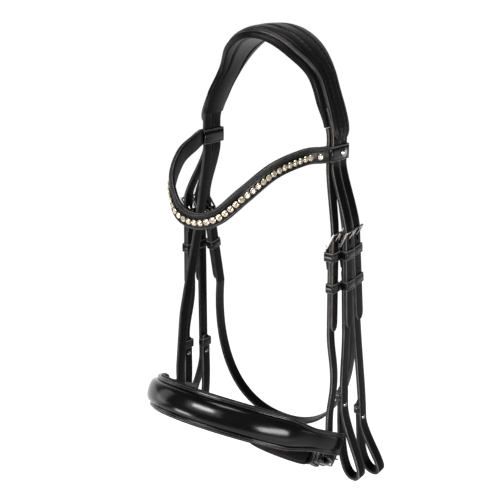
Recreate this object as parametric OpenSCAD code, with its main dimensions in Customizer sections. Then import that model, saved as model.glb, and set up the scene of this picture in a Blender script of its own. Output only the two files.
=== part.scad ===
// Padded bridle with two bit cheekpieces on each side, hanging from the poll.
// +Z is up, -Y is the front of the horse's face and +X is the horse's near side.
// The origin is the underside of the padded crown, where it sits on the poll.

/* [Straps] */
// Width of the cheek and throat straps
strap_w = 13; // [11:0.5:14]
// Width of the noseband's hanging straps
hanger_w = 11; // [9:0.5:12]
// Thickness of every strap
strap_t = 3.2; // [2.6:0.1:3.6]
// Bevel along the strap edges
strap_bevel = 0.6; // [0.2:0.1:1]
// Length of strap point below a buckle bar
point_len = 92; // [80:1:100]
// Radius of the punched holes
hole_r = 1.2; // [0.8:0.1:1.5]
// Distance between punched holes
hole_pitch = 19; // [16:0.5:24]

/* [Crown] */
// Half width of the arch over the poll
crown_half = 84; // [80:1:90]
// Height of the arch from browband to poll
crown_rise = 140; // [120:1:150]
// Width of the padded crown at the poll
crown_w = 60; // [50:1:70]
// Height of the padding on the cover
cover_pad = 4; // [3:0.5:6]
// Depth of the channels sewn along the cover
channel_depth = 1.2; // [0.4:0.1:2]
// How far the ends of the arch flare out again
crown_flare = 4; // [0:0.5:6]
// How far the near end hangs behind the off end, halved
crown_skew = 2.5; // [0:0.5:4]
// Thickness of the padded lining
lining_t = 6; // [4:0.5:8]
// How far the lining roll shows in front of the cover
lining_roll = 8; // [5:0.5:10]

/* [Browband] */
// Distance from the browband loops forward to the middle of the band
brow_depth = 110; // [95:1:125]
// Drop from the loops to the middle of the band
brow_dip = 60; // [45:1:65]
// Width of the band
brow_w = 16.5; // [15:0.5:19]
// Height of the end loops
loop_h = 16; // [14:0.5:19]
// Wall of the end loops
loop_wall = 1.8; // [1.4:0.1:2.4]
// Distance between stones
stone_pitch = 6.9; // [6.6:0.1:8]
// Radius of a stone's cup
cup_r = 3.1; // [2.4:0.1:3.2]
// Stones in the row, without the single one at each end
stone_count = 43; // [31:2:45]

/* [Buckles] */
// Drop from the poll to the buckle bars
bar_drop = 203; // [195:1:210]
// Radius of the buckle wire
wire_r = 1.2; // [1:0.1:1.4]
// Distance between the two bars of a frame
frame_h = 17; // [15:0.5:19]
// Room beside the strap in a frame
side_gap = 0.4; // [0.3:0.1:0.6]
// Radius of a tongue
tongue_r = 1; // [0.8:0.1:1.1]
// How far a tongue lifts in its slot, in degrees
tongue_lift = 20; // [10:1:22]

/* [Keepers] */
// Height of a keeper along the strap
keeper_h = 10; // [8:0.5:11]
// Wall of a keeper
keeper_wall = 1.4; // [1:0.1:1.6]
// Drop from a buckle bar to its running keeper
runner_drop = 44; // [40:1:48]

/* [Cheekpieces] */
// Distance out from the middle of the head to the front cheekpieces
cheek_out = 112; // [108:1:116]
// Drop from a buckle bar to the bottom of the billet loop
cheek_len = 276; // [265:1:290]
// Length of billet that lies doubled above the loop
billet_lap = 26; // [22:1:30]
// Height of the billet loop
billet_loop = 84; // [76:1:92]

/* [Noseband] */
// Half width inside the noseband
nose_half = 106; // [102:0.5:110]
// Depth inside the noseband from the ends to the front
nose_depth = 135; // [125:1:145]
// Height of the padded front
nose_h = 35; // [31:0.5:38]
// Height of the plain ends
nose_end_h = 25; // [23:0.5:28]
// How far the padding stands out
nose_pad = 6.5; // [4:0.5:8]
// Drop from the poll to the noseband ends
nose_drop = 429; // [420:1:436]
// Rise of the front above the ends, in degrees
nose_tilt = 27; // [22:1:30]
// Width of the chin strap
chin_w = 16; // [14:0.5:18]
// Depth from the noseband ends back to the chin
chin_depth = 72; // [66:1:80]

/* [Throatlatch] */
// Drop from the throat buckles to the lowest point
throat_drop = 273; // [250:1:285]
// Half distance between the throat buckles
throat_half = 95; // [92:0.5:95]

/* [Hidden] */

leather = [0.07, 0.065, 0.065];
lining_leather = [0.13, 0.11, 0.105];
chrome = [0.78, 0.79, 0.8];
stone_tint = [0.93, 0.86, 0.74];
$fn = 32;

// Clearances
layer_gap = 0.3;
seat_gap = 0.15;
run_fit = 0.06;
keeper_fit = 0.3;
loop_fit = 0.4;
frame_gap = 1.4;

// Layers of the crown, counted outward from the middle of the strap layer
layer_out = strap_t / 2 + layer_gap;
crown_top = lining_t + layer_out;
inner_shift = strap_t + layer_gap;
cover_edge = 1.4;
cover_end = 74;
core_end = 60.5;
lining_end = 70;
pocket_start = 62;
// Half width and middle of the crown every 15 degrees from the poll to its ends
crown_table = [0.5, 0.475, 0.41, 0.26, 0.225, 0.24];
middle_table = [3, 4, 7, 11, 6.5, 3.5];
table_step = 15;
tab_half = strap_w + layer_gap + 1;
tab_start = 66;

// Straps in the browband loops
loop_x = crown_x(cover_end);
function tab_y(side) = middle_table[5] + side * crown_skew;
function front_y(side) = tab_y(side) - (strap_w + layer_gap) / 2;
function rear_y(side) = tab_y(side) + (strap_w + layer_gap) / 2;
function nose_strap_w(side) = side > 0 ? hanger_w : strap_w;
function nose_strap_y(side) = front_y(side) - 4;
function throat_strap_y(side) = nose_strap_y(side) + (nose_strap_w(side) + strap_w) / 2 + 2;
loop_z = crown_top - crown_rise * (1 - cos(76)) - 14.5;
function loop_lo(side) =
  [loop_x - inner_shift - strap_t / 2 - loop_fit, nose_strap_y(side) - nose_strap_w(side) / 2 - loop_fit];
function loop_hi(side) = [loop_x + strap_t / 2 + loop_fit, rear_y(side) + strap_w / 2 + loop_fit];
loop_corner = 1.5;
slide_room = 4;

// Buckles, with the seat between a strap point and the strap below it as their plane
bar_r = wire_r + run_fit;
eye_wall = 1.6;
eye_r = bar_r + eye_wall;
bar_x = -seat_gap - eye_r;
rest_gap = 0.15;
top_x = seat_gap + strap_t + layer_gap + wire_r;
frame_tilt = asin((top_x - bar_x) / frame_h);
tongue_tilt = frame_tilt + asin((wire_r + tongue_r + rest_gap) / frame_h);
tongue_len = frame_h + 2;
hub_r = bar_r + 1;
hub_w = 3.4;
hub_room = 0.4;
slot_room = 0.6;
lower_x = -seat_gap - strap_t / 2;
upper_x = seat_gap + strap_t / 2;
fold_x = bar_x - eye_r;
fold_len = 24;
fold_flat = 14;
fixed_drop = 10;
straight_top = 22;

// Where each strap hangs: side, distance out, distance back, lean back in degrees, width;
// a cheekpiece goes on with its bow inward, its length and the height of its billet loop
cheek_pitch = strap_w + 2 * side_gap + 4 * wire_r + frame_gap;
near_noseband = [1, nose_half - 0.6, -32, 1, hanger_w];
near_front = [1, cheek_out, -16, 3.5, strap_w, 3.5, cheek_len, billet_loop];
near_rear = [1, cheek_out - 3.5, -16 + cheek_pitch, 7, strap_w, -3, cheek_len + 9, billet_loop - 20];
near_throat = [1, throat_half, 7, 11, strap_w];
off_front = [-1, cheek_out - 3.5, -12, -1, strap_w, -9, cheek_len - 14, billet_loop - 6];
off_rear = [-1, cheek_out - 3, -12 + cheek_pitch, 0, strap_w, 0, cheek_len - 6, billet_loop];
off_throat = [-1, throat_half, 7, 11, strap_w];
hung = [near_noseband, near_front, near_rear, near_throat, off_front, off_rear, off_throat];
cheeks = [near_front, near_rear, off_front, off_rear];

// Noseband and chin strap
nose_back = -25;
lip_t = 3.6;
lip_h = 5;
end_pad = 0.6;
nose_tail = 16;
nose_lining_t = 6;
nose_lining_end = 62;
pad_fade = [56, 76];
chin_tilt = 45;
chin_origin = [0, -20, -nose_drop - 16];
chin_turn = 45;
chin_bar = [nose_half - 22, 26];
chin_straight = 56;
chin_point_len = 52;
chin_runner_drop = 36;
chin_pad_t = 6;

// Vector helpers and curves
function unit(v) = v / norm(v);
function ease(t) = t <= 0 ? 0 : t >= 1 ? 1 : t * t * (3 - 2 * t);
function pick(v, i) = v[max(0, min(len(v) - 1, i))];

// Smooth value at place u of an evenly spaced list
function smooth_at(v, u) =
  let(i = min(floor(u), len(v) - 2), t = u - i,
      a = pick(v, i - 1), b = pick(v, i), c = pick(v, i + 1), d = pick(v, i + 2))
  b + 0.5 * t * (c - a + t * (2 * a - 5 * b + 4 * c - d + t * (3 * (b - c) + d - a)));

// Points along a cubic curve with four handles
function cubic(h, n) = [for (i = [0:n]) let(t = i / n, s = 1 - t)
  s * s * s * h[0] + 3 * s * s * t * h[1] + 3 * s * t * t * h[2] + t * t * t * h[3]];

// Straight legs through corner points, each corner rounded off over the length cut
function eased(p, cut, n) = concat(
  [p[0]],
  [for (i = [1:len(p) - 2])
    let(back = p[i - 1] - p[i], on = p[i + 1] - p[i],
        a = p[i] + unit(back) * min(cut, norm(back) * 0.45),
        b = p[i] + unit(on) * min(cut, norm(on) * 0.45))
    for (k = [0:n]) let(t = k / n, s = 1 - t) s * s * a + 2 * s * t * p[i] + t * t * b],
  [p[len(p) - 1]]);

function heading(p, i) = unit(pick(p, i + 1) - pick(p, i - 1));

// Outline of a strap of thickness t seen from its edge, along the middle line p
function edge_outline(p, t) =
  let(side = [for (i = [0:len(p) - 1]) let(d = heading(p, i)) [-d[1], d[0]] * t / 2])
  concat([for (i = [0:len(p) - 1]) p[i] + side[i]],
         [for (i = [len(p) - 1:-1:0]) p[i] - side[i]]);

// Bevelled section of a strap, as width and thickness from its middle
function strap_section(w, t) =
  let(a = w / 2, b = t / 2, c = strap_bevel)
  [[a - c, b], [a, b - c], [a, c - b], [a - c, -b], [c - a, -b], [-a, c - b], [-a, b - c], [c - a, b]];

// Section placed square to the heading d at point p, with its width along across
function strap_ring(p, d, across, section) =
  let(w = unit(across - (across * d) * d), n = cross(d, w))
  [for (q = section) p + w * q[0] + n * q[1]];

// Closed skin over a row of rings that have the same number of points
module loft(rings) {
  n = len(rings[0]);
  m = len(rings);
  sides = [for (i = [0:m - 2], k = [0:n - 1])
    let(a = i * n + k, b = i * n + (k + 1) % n)
    each [[a, b, a + n], [b, b + n, a + n]]];
  start_cap = [for (k = [n - 1:-1:0]) k];
  end_cap = [for (k = [0:n - 1]) (m - 1) * n + k];
  polyhedron([for (r = rings) each r], concat(sides, [start_cap, end_cap]));
}

// Strap of width w along a route, its width turning through the directions in turns
module strap(route, w, turns, tip = 0) {
  last = len(route) - 1;
  loft([for (i = [0:last])
    let(narrow = tip > 0 && i == last ? 0.45 : 1, across = smooth_at(turns, (len(turns) - 1) * i / last))
    strap_ring(route[i], heading(route, i), across, strap_section(w * narrow, strap_t))]);
}

// Rectangle with round corners between two opposite corner points
module round_rect(lo, hi, r) {
  translate([lo[0] + r, lo[1]]) square([hi[0] - lo[0] - 2 * r, hi[1] - lo[1]]);
  translate([lo[0], lo[1] + r]) square([hi[0] - lo[0], hi[1] - lo[1] - 2 * r]);
  for (x = [lo[0] + r, hi[0] - r], y = [lo[1] + r, hi[1] - r]) translate([x, y]) circle(r);
}

// Places on the bridle
module on_side(side) {
  if (side < 0) mirror([1, 0, 0]) children();
  else children();
}

module at_strap(s) {
  on_side(s[0]) translate([s[1], s[2], -bar_drop]) rotate([s[3], 0, 0]) children();
}

module at_noseband() {
  translate([0, nose_back, -nose_drop]) rotate([-nose_tilt, 0, 0]) children();
}

module at_chin() {
  translate(chin_origin) rotate([-chin_tilt, 0, 0]) children();
}

module at_chin_bar() {
  at_chin() translate(chin_bar) rotate([0, 0, chin_turn]) rotate([90, 0, 0]) children();
}

// Point of a hung strap's own frame, in the near side's frame of the whole bridle
function hung_point(s, p) =
  [s[1] + p[0], s[2] + p[1] * cos(s[3]) - p[2] * sin(s[3]),
   p[1] * sin(s[3]) + p[2] * cos(s[3]) - bar_drop];

function hung_across(s) = [0, cos(s[3]), sin(s[3])];

function crown_x(phi) = crown_half * sin(phi) + crown_flare * sign(phi) * ease((abs(phi) - 50) / 26);

// Point on the crown at angle phi, distance back y and height n above the strap layer
function crown_point(phi, y, n) =
  let(up = unit([crown_rise * sin(phi), crown_half * cos(phi)]))
  [crown_x(phi) + n * up[0], y, crown_top - crown_rise * (1 - cos(phi)) + n * up[1]];

function crown_middle(phi) =
  smooth_at(middle_table, abs(phi) / table_step) + crown_skew * sin(phi) / sin(75);
function crown_free(phi) = crown_w * smooth_at(crown_table, abs(phi) / table_step);
function crown_reach(phi) =
  let(k = ease((abs(phi) - 52) / 12)) crown_free(phi) * (1 - k) + tab_half * k;
function tab_round(phi) =
  let(k = max(0, abs(phi) - tab_start) / (cover_end - tab_start)) sqrt(1.01 - k * k);

// Padded cover of the crown, with two channels sewn along it
function cover_height(u) =
  let(roll = pow(1 - u * u, 0.6), dip = exp(-pow((abs(u) - 0.38) / 0.13, 2)))
  cover_edge + cover_pad * roll - channel_depth * dip;

function cover_ring(phi) =
  let(y = crown_middle(phi), h = crown_reach(phi) * tab_round(phi), thin = 0.25 + 0.75 * tab_round(phi))
  concat([for (i = [-8:8]) let(u = i / 8)
           crown_point(phi, y + h * u, layer_out + thin * cover_height(u * 0.999))],
         [for (u = [1, 0, -1]) crown_point(phi, y + h * u, layer_out)]);

module crown_cover() {
  stations = concat([-cover_end, -73, -71, -68.5], [for (i = [-13:13]) i * 5], [68.5, 71, 73, cover_end]);
  color(leather) loft([for (phi = stations) cover_ring(phi)]);
}

// Plain leather between the cover and the lining, which the strap points butt against
module crown_core() {
  color(leather) loft([for (i = [-11:11])
    let(phi = core_end * i / 11, y = crown_middle(phi), h = crown_reach(phi) - 1.5, b = strap_t / 2)
    [for (q = [[-h, b], [h, b], [h, -b], [-h, -b]]) crown_point(phi, y + q[0], q[1])]]);
}

// Padded lining, which rolls forward of the cover
function lining_ring(phi) =
  let(fade = 1 - ease((abs(phi) - 58) / 12), y = crown_middle(phi),
      back = y + crown_reach(phi) - 1,
      front = y - crown_reach(phi) - lining_roll * (0.5 + 0.5 * fade),
      mid = (front + back) / 2, h = (back - front) / 2)
  concat([for (i = [-4:4]) let(u = sin(i * 22.5))
           crown_point(phi, mid + h * u, -layer_out - (i == -4 || i == 4 ? lining_t * 0.25 : 0))],
         [for (i = [4:-1:-4]) let(u = sin(i * 22.5))
           crown_point(phi, mid + h * u, -layer_out - lining_t * (0.5 + 0.5 * sqrt(1 - u * u * 0.98)))]);

module crown_lining() {
  color(lining_leather) loft([for (i = [-14:14]) lining_ring(lining_end * i / 14)]);
}

// Middle line of the browband from the near loop round to the off loop
function brow_start(side) =
  [(loop_lo(side)[0] + loop_hi(side)[0]) / 2, loop_lo(side)[1] - loop_wall - layer_gap, loop_z];
brow_shares = [[1, 0, 0], [0.96, 0.06, 0], [0.85, 0.22, 0.01], [0.72, 0.55, 0.16],
               [0.55, 0.82, 0.51], [0.3, 0.96, 0.88], [0, 1, 1]];
function brow_half(side) = [for (s = brow_shares)
  let(p = brow_start(side)) [side * p[0] * s[0], p[1] - side * crown_skew * (1 - s[0]) - brow_depth * s[1],
                             p[2] - brow_dip * s[2]]];
brow_last = len(brow_shares) - 1;
brow_full = concat(brow_half(1), [for (i = [brow_last - 1:-1:0]) brow_half(-1)[i]]);

// Middle line, cut into the steps given for each control point
function brow_line(steps) =
  [for (i = [0:2 * brow_last * steps]) smooth_at(brow_full, i / steps)];

// Frame of the band at a heading: up along its width, and outward
function brow_up(d) = unit([0, 0, 1] - d[2] * d);
function brow_out(d) = cross(brow_up(d), d);
function brow_heading(p, i) = i == 0 ? [0, -1, 0] : i == len(p) - 1 ? [0, 1, 0] : heading(p, i);

module brow_sweep(section) {
  line = brow_line(4);
  loft([for (i = [0:len(line) - 1])
    let(d = brow_heading(line, i))
    [for (q = section) line[i] + brow_up(d) * q[0] + brow_out(d) * q[1]]]);
}

channel_out = 2.6;
stone_low = 1;
piping_out = 3.9;

module browband() {
  a = brow_w / 2;
  color(leather) brow_sweep([
    [a, 0], [a, 3.2], [a - 1.4, piping_out], [a - 2.8, channel_out],
    [2.8 - a, channel_out], [1.4 - a, piping_out], [-a, 3.2], [-a, 0]]);
}

module browband_lining() {
  a = brow_w / 2 + 0.4;
  n = -layer_gap;
  color(lining_leather) brow_sweep([
    [a - 1, n], [a, n - 1], [a - 1, n - 2.2], [1 - a, n - 2.2], [-a, n - 1], [1 - a, n]]);
}

// Distance along the band to each point of its finely cut middle line
stone_line = brow_line(14);
function running_sum(v) = [for (i = 0, s = 0; i < len(v); s = s + v[i], i = i + 1) s + v[i]];
stone_dist = concat([0], running_sum([for (i = [1:len(stone_line) - 1]) norm(stone_line[i] - stone_line[i - 1])]));
stone_mid = stone_dist[len(stone_dist) - 1] / 2;
single_gap = 2.2 * stone_pitch;
stone_half = (stone_count - 1) / 2;
stone_row = [for (i = [-stone_half:stone_half]) i * stone_pitch];
stone_places = concat([stone_row[0] - single_gap + stone_pitch / 2], stone_row,
                      [-stone_row[0] + single_gap - stone_pitch / 2]);

// Puts children on the band's outer face, at a distance along it from the middle
module on_band(from_middle) {
  want = stone_mid + from_middle;
  i = [for (k = [0:len(stone_dist) - 2]) if (stone_dist[k] <= want && stone_dist[k + 1] > want) k][0];
  t = (want - stone_dist[i]) / (stone_dist[i + 1] - stone_dist[i]);
  p = stone_line[i] * (1 - t) + stone_line[i + 1] * t;
  d = unit(stone_line[i + 1] - stone_line[i]);
  u = brow_up(d);
  n = brow_out(d);
  q = p + n * (channel_out + layer_gap) - u * stone_low;
  multmatrix([[-d[0], u[0], n[0], q[0]], [-d[1], u[1], n[1], q[1]], [-d[2], u[2], n[2], q[2]]]) children();
}

cup_h = 1.5;
cup_floor = 0.4;
cup_rim = 0.4;

module stone_cups() {
  color(chrome) for (s = stone_places) on_band(s) difference() {
    cylinder(r = cup_r, h = cup_h);
    translate([0, 0, cup_floor]) cylinder(r = cup_r - cup_rim, h = cup_h);
  }
}

// Cut stones: a straight girdle with a sloping crown up to a flat table
module stones() {
  stone_r = cup_r - cup_rim - 0.05;
  color(stone_tint) for (s = stone_places) on_band(s) translate([0, 0, cup_floor + 0.05]) {
    cylinder(r = stone_r, h = 1);
    translate([0, 0, 1]) cylinder(r1 = stone_r, r2 = stone_r * 0.6, h = 0.9);
  }
}

module browband_loop(side) {
  lo = loop_lo(side);
  hi = loop_hi(side);
  wall = [loop_wall, loop_wall];
  on_side(side) translate([0, 0, loop_z]) linear_extrude(loop_h, center = true) difference() {
    round_rect(lo - wall, hi + wall, loop_corner);
    translate(lo) square(hi - lo);
  }
}

module near_browband_loop() { color(leather) browband_loop(1); }

module off_browband_loop() { color(leather) browband_loop(-1); }

// Plain domed studs on the outer faces of the loops
module loop_studs() {
  stud_r = 5;
  stud_h = 1.6;
  color(chrome) for (side = [1, -1]) on_side(side)
    translate([loop_hi(side)[0] + loop_wall + 0.1, tab_y(side) + 3, loop_z]) rotate([0, 90, 0]) {
      cylinder(r = stud_r, h = stud_h / 2);
      translate([0, 0, stud_h / 2]) cylinder(r1 = stud_r, r2 = stud_r * 0.55, h = stud_h);
    }
}

// Strap points, from the crown through a browband loop and a buckle to the tip
function outer_start(y) = [for (phi = [pocket_start, 67, 71]) crown_point(phi, y, 0)];
function inner_start(y) = [crown_point(lining_end + 0.5, y, -inner_shift)];
loop_run = loop_h / 2 + slide_room;
ease_cut = 7;

function point_route(s, start, x, y) =
  let(tip = hung_point(s, [upper_x, 0, -point_len]), near_tip = hung_point(s, [upper_x, 0, 7 - point_len]))
  concat(
    eased(concat(start, [
      [x, y, loop_z + loop_run + ease_cut], [x, y, loop_z - loop_run - ease_cut],
      hung_point(s, [upper_x, 0, straight_top]), near_tip]), ease_cut, 3),
    [tip]);

module punched_hole(z) {
  translate([-40, 0, z]) rotate([0, 90, 0]) cylinder(r = hole_r, h = 60);
}

// Slot that the tongue passes through, long enough for its lift
module tongue_slot() {
  lifted = tongue_tilt + tongue_lift;
  low = (seat_gap - bar_x) / tan(lifted) - tongue_r / sin(lifted) - slot_room;
  high = (seat_gap + strap_t - bar_x) / tan(tongue_tilt) + tongue_r / sin(tongue_tilt) + slot_room;
  r = tongue_r + 0.35;
  translate([-seat_gap, 0, 0]) rotate([0, 90, 0]) linear_extrude(strap_t + 1)
    round_rect([-high, -r], [-low, r], r * 0.6);
}

// Spare hole in the leg between a browband loop and a buckle, square to the strap
module spare_hole(s, x, y, rise) {
  foot = hung_point(s, [upper_x, 0, straight_top]);
  head = [x, y, loop_z - loop_run - ease_cut];
  on = (head - foot) / norm(head - foot);
  axis = cross(hung_across(s), on);
  translate(foot + on * (rise - straight_top))
    rotate([0, acos(axis[2] / norm(axis)), atan2(axis[1], axis[0])])
      cylinder(r = hole_r, h = 12, center = true);
}

module strap_point(s, start, x, y, spare = 0) {
  color(leather) on_side(s[0]) difference() {
    strap(point_route(s, start, x, y), s[4], [[0, 1, 0], hung_across(s), hung_across(s)], 1);
    translate([s[1], s[2], -bar_drop]) rotate([s[3], 0, 0]) {
      tongue_slot();
      for (k = [-2, -1]) punched_hole(6 + k * hole_pitch);
    }
    for (k = [1:1:spare]) spare_hole(s, x, y, k * hole_pitch);
  }
}

// Points in the outer layer of the crown's ends, and points in the inner layer
module outer_point(s, y) { strap_point(s, outer_start(y), loop_x, y, 2); }
module inner_point(s, y) { strap_point(s, inner_start(y), loop_x - inner_shift, y); }

module near_noseband_point() { inner_point(near_noseband, nose_strap_y(1)); }
module near_throat_point() { inner_point(near_throat, throat_strap_y(1)); }
module off_throat_point() { inner_point(off_throat, throat_strap_y(-1)); }
module near_front_point() { outer_point(near_front, front_y(1)); }
module near_rear_point() { outer_point(near_rear, rear_y(1)); }
module off_front_point() { outer_point(off_front, front_y(-1)); }
module off_rear_point() { outer_point(off_rear, rear_y(-1)); }

// Buckle frame of round wire, with its lower bar along Y at the strap's fold
module frame(w) {
  leg_y = w / 2 + side_gap + wire_r;
  translate([bar_x, 0, 0]) rotate([0, frame_tilt, 0]) {
    for (z = [0, frame_h]) translate([0, 0, z]) rotate([90, 0, 0])
      cylinder(r = wire_r, h = 2 * leg_y, center = true);
    for (y = [-leg_y, leg_y]) translate([0, y, 0]) {
      cylinder(r = wire_r, h = frame_h);
      sphere(wire_r);
      translate([0, 0, frame_h]) sphere(wire_r);
    }
  }
}

// Tongue with a bored hub that turns on the lower bar and an arm resting on the upper one
module tongue() {
  translate([bar_x, 0, 0]) difference() {
    union() {
      rotate([90, 0, 0]) cylinder(r = hub_r, h = hub_w, center = true);
      rotate([0, tongue_tilt, 0]) {
        cylinder(r = tongue_r, h = tongue_len);
        translate([0, 0, tongue_len]) sphere(tongue_r);
      }
    }
    rotate([90, 0, 0]) cylinder(r = bar_r, h = hub_w + 2, center = true);
  }
}

// Leather loop round the straps between x_lo and x_hi, of strap width w
module keeper(x_lo, x_hi, w) {
  lo = [x_lo - keeper_fit, -w / 2 - keeper_fit];
  hi = [x_hi + keeper_fit, w / 2 + keeper_fit];
  wall = [keeper_wall, keeper_wall];
  linear_extrude(keeper_h, center = true) difference() {
    round_rect(lo - wall, hi + wall, keeper_wall * 0.8);
    translate(lo) square(hi - lo);
  }
}

point_face = seat_gap + strap_t;
lower_face = -seat_gap - strap_t;

module runner(drop, w) { translate([0, 0, -drop]) keeper(lower_face, point_face, w); }

module fixed_keeper(w) { translate([0, 0, -fixed_drop]) keeper(fold_x, point_face, w); }

module near_noseband_buckle() { color(chrome) at_strap(near_noseband) frame(near_noseband[4]); }
module near_front_buckle() { color(chrome) at_strap(near_front) frame(near_front[4]); }
module near_rear_buckle() { color(chrome) at_strap(near_rear) frame(near_rear[4]); }
module near_throat_buckle() { color(chrome) at_strap(near_throat) frame(near_throat[4]); }
module off_front_buckle() { color(chrome) at_strap(off_front) frame(off_front[4]); }
module off_rear_buckle() { color(chrome) at_strap(off_rear) frame(off_rear[4]); }
module off_throat_buckle() { color(chrome) at_strap(off_throat) frame(off_throat[4]); }

module near_noseband_tongue() { color(chrome) at_strap(near_noseband) tongue(); }
module near_front_tongue() { color(chrome) at_strap(near_front) tongue(); }
module near_rear_tongue() { color(chrome) at_strap(near_rear) tongue(); }
module near_throat_tongue() { color(chrome) at_strap(near_throat) tongue(); }
module off_front_tongue() { color(chrome) at_strap(off_front) tongue(); }
module off_rear_tongue() { color(chrome) at_strap(off_rear) tongue(); }
module off_throat_tongue() { color(chrome) at_strap(off_throat) tongue(); }

module near_noseband_runner() { color(leather) at_strap(near_noseband) runner(runner_drop, near_noseband[4]); }
module near_front_runner() { color(leather) at_strap(near_front) runner(runner_drop, near_front[4]); }
module near_rear_runner() { color(leather) at_strap(near_rear) runner(runner_drop, near_rear[4]); }
module near_throat_runner() { color(leather) at_strap(near_throat) runner(runner_drop, near_throat[4]); }
module off_front_runner() { color(leather) at_strap(off_front) runner(runner_drop, off_front[4]); }
module off_rear_runner() { color(leather) at_strap(off_rear) runner(runner_drop, off_rear[4]); }
module off_throat_runner() { color(leather) at_strap(off_throat) runner(runner_drop, off_throat[4]); }

// Fold of a lower strap round its buckle bar, turned back and pared thin, from inside to outside
fold_line = concat(
  [[lower_face, -fold_len], [fold_x, -fold_flat]],
  [for (a = [180:-15:0]) [bar_x + eye_r * cos(a), eye_r * sin(a)]]);

// Points of a list without its first and last ones
function inside(p, first, last) = [for (i = [first:len(p) - 1 - last]) p[i]];

// Clears the bar and the tongue's hub out of a fold
module fold_room(w) {
  slot_w = hub_w + 2 * hub_room;
  translate([bar_x, 0, 0]) rotate([90, 0, 0]) cylinder(r = bar_r, h = w + 4, center = true);
  translate([fold_x - 1, -slot_w / 2, -hub_r - hub_room])
    cube([2 * eye_r + 2, slot_w, hub_r + eye_r + hub_room + 1]);
}

// Strap of width w that hangs from a buckle bar, drawn along its middle line
module hanging_strap(line, w) {
  difference() {
    rotate([90, 0, 0]) linear_extrude(w, center = true)
      polygon(concat(inside(edge_outline(line, strap_t), 1, 1), fold_line));
    fold_room(w);
  }
}

// Cheekpiece: down to the bit, round it and back up inside to the hook stud
function cheek_x(s) = lower_x - s[5];
function billet_x(s) = cheek_x(s) - strap_t - layer_gap;
function lap_top(s) = s[7] - s[6];
function stud_z(s) = lap_top(s) + 5;
function billet_keeper_z(s) = lap_top(s) + billet_lap - keeper_h / 2 - 4;
stud_shaft = 1.3;
stud_head = 3;

function cheek_line(s) =
  let(x = cheek_x(s), top = lap_top(s), in = billet_x(s), low = strap_t / 2 - s[6], reach = s[7] * 0.4)
  concat(
    [[lower_x, 0]],
    cubic([[lower_x, -point_len - 2], [lower_x, -point_len - 27],
           [x, top + billet_lap + 20], [x, top + billet_lap]], 5),
    [[x, top + 1]],
    cubic([[x, top], [x + 3, top - reach], [x + 36, low], [x + 15, low]], 9),
    cubic([[x + 14, low], [x - 4, low], [in - 1, top - reach], [in, top]], 9),
    [[in, top + billet_lap]]);

module cheekpiece(s) {
  color(leather) at_strap(s) difference() {
    hanging_strap(cheek_line(s), s[4]);
    translate([cheek_x(s) - 15, 0, stud_z(s)]) rotate([0, 90, 0]) cylinder(r = stud_shaft + 0.1, h = 30);
  }
}

module near_front_cheekpiece() { cheekpiece(near_front); }
module near_rear_cheekpiece() { cheekpiece(near_rear); }
module off_front_cheekpiece() { cheekpiece(off_front); }
module off_rear_cheekpiece() { cheekpiece(off_rear); }

// Hook studs that hold the billets shut, headed on both sides of the two layers
module hook_studs() {
  span = 2 * strap_t + layer_gap + 0.2;
  color(chrome) for (s = cheeks) at_strap(s)
    translate([billet_x(s) - strap_t / 2 - 0.1, 0, stud_z(s)]) rotate([0, 90, 0]) {
      cylinder(r = stud_shaft, h = span);
      translate([0, 0, span]) cylinder(r1 = stud_head, r2 = stud_head * 0.7, h = 0.9);
      translate([0, 0, -1.4]) cylinder(r1 = stud_head * 0.5, r2 = stud_head * 0.9, h = 1.4);
    }
}

module billet_keepers() {
  color(leather) for (s = cheeks) at_strap(s) translate([0, 0, billet_keeper_z(s)])
    keeper(billet_x(s) - strap_t / 2, cheek_x(s) + strap_t / 2, s[4]);
}

module fixed_keepers() {
  color(leather) {
    for (s = hung) at_strap(s) fixed_keeper(s[4]);
    at_chin_bar() fixed_keeper(chin_w);
  }
}

// Noseband hangers, sewn to the inside of the noseband ends
hanger_low = nose_drop - bar_drop - 2;
hanger_bow = 5;

module near_noseband_hanger() {
  bow_top = -point_len - 2;
  bow_end = 24 - hanger_low;
  bow_mid = (bow_top + bow_end) / 2;
  line = concat(
    [[lower_x, 0]],
    cubic([[lower_x, bow_top], [lower_x, bow_top - 20], [lower_x + hanger_bow, bow_mid + 20],
           [lower_x + hanger_bow, bow_mid]], 5),
    cubic([[lower_x + hanger_bow, bow_mid - 1], [lower_x + hanger_bow, bow_mid - 20],
           [lower_x, bow_end + 20], [lower_x, bow_end]], 5),
    [[lower_x, -hanger_low]]);
  color(leather) at_strap(near_noseband) hanging_strap(line, hanger_w);
}

hanger_x = nose_half - 3 + lower_x;
off_route = eased(concat(inner_start(nose_strap_y(-1)), [
  [loop_x - inner_shift, nose_strap_y(-1), loop_z + loop_run + ease_cut],
  [loop_x - inner_shift, nose_strap_y(-1), loop_z - loop_run - ease_cut],
  [loop_x + 2, nose_strap_y(-1) - 11, -215],
  [hanger_x - 3, nose_strap_y(-1) - 26, -320],
  [hanger_x, nose_strap_y(-1) - 32, -390],
  [hanger_x, nose_strap_y(-1) - 31, -bar_drop - hanger_low]]), ease_cut, 3);

module off_noseband_hanger() {
  color(leather) on_side(-1) strap(off_route, strap_w, [[0, 1, 0], [0, 1, 0], [-0.15, 1, 0], [0.1, 1, 0]]);
}

// Throatlatch, hung from a buckle on each side, lowest a little toward the off side
throat_bulge = 20;
throat_low_x = -21;

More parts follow.
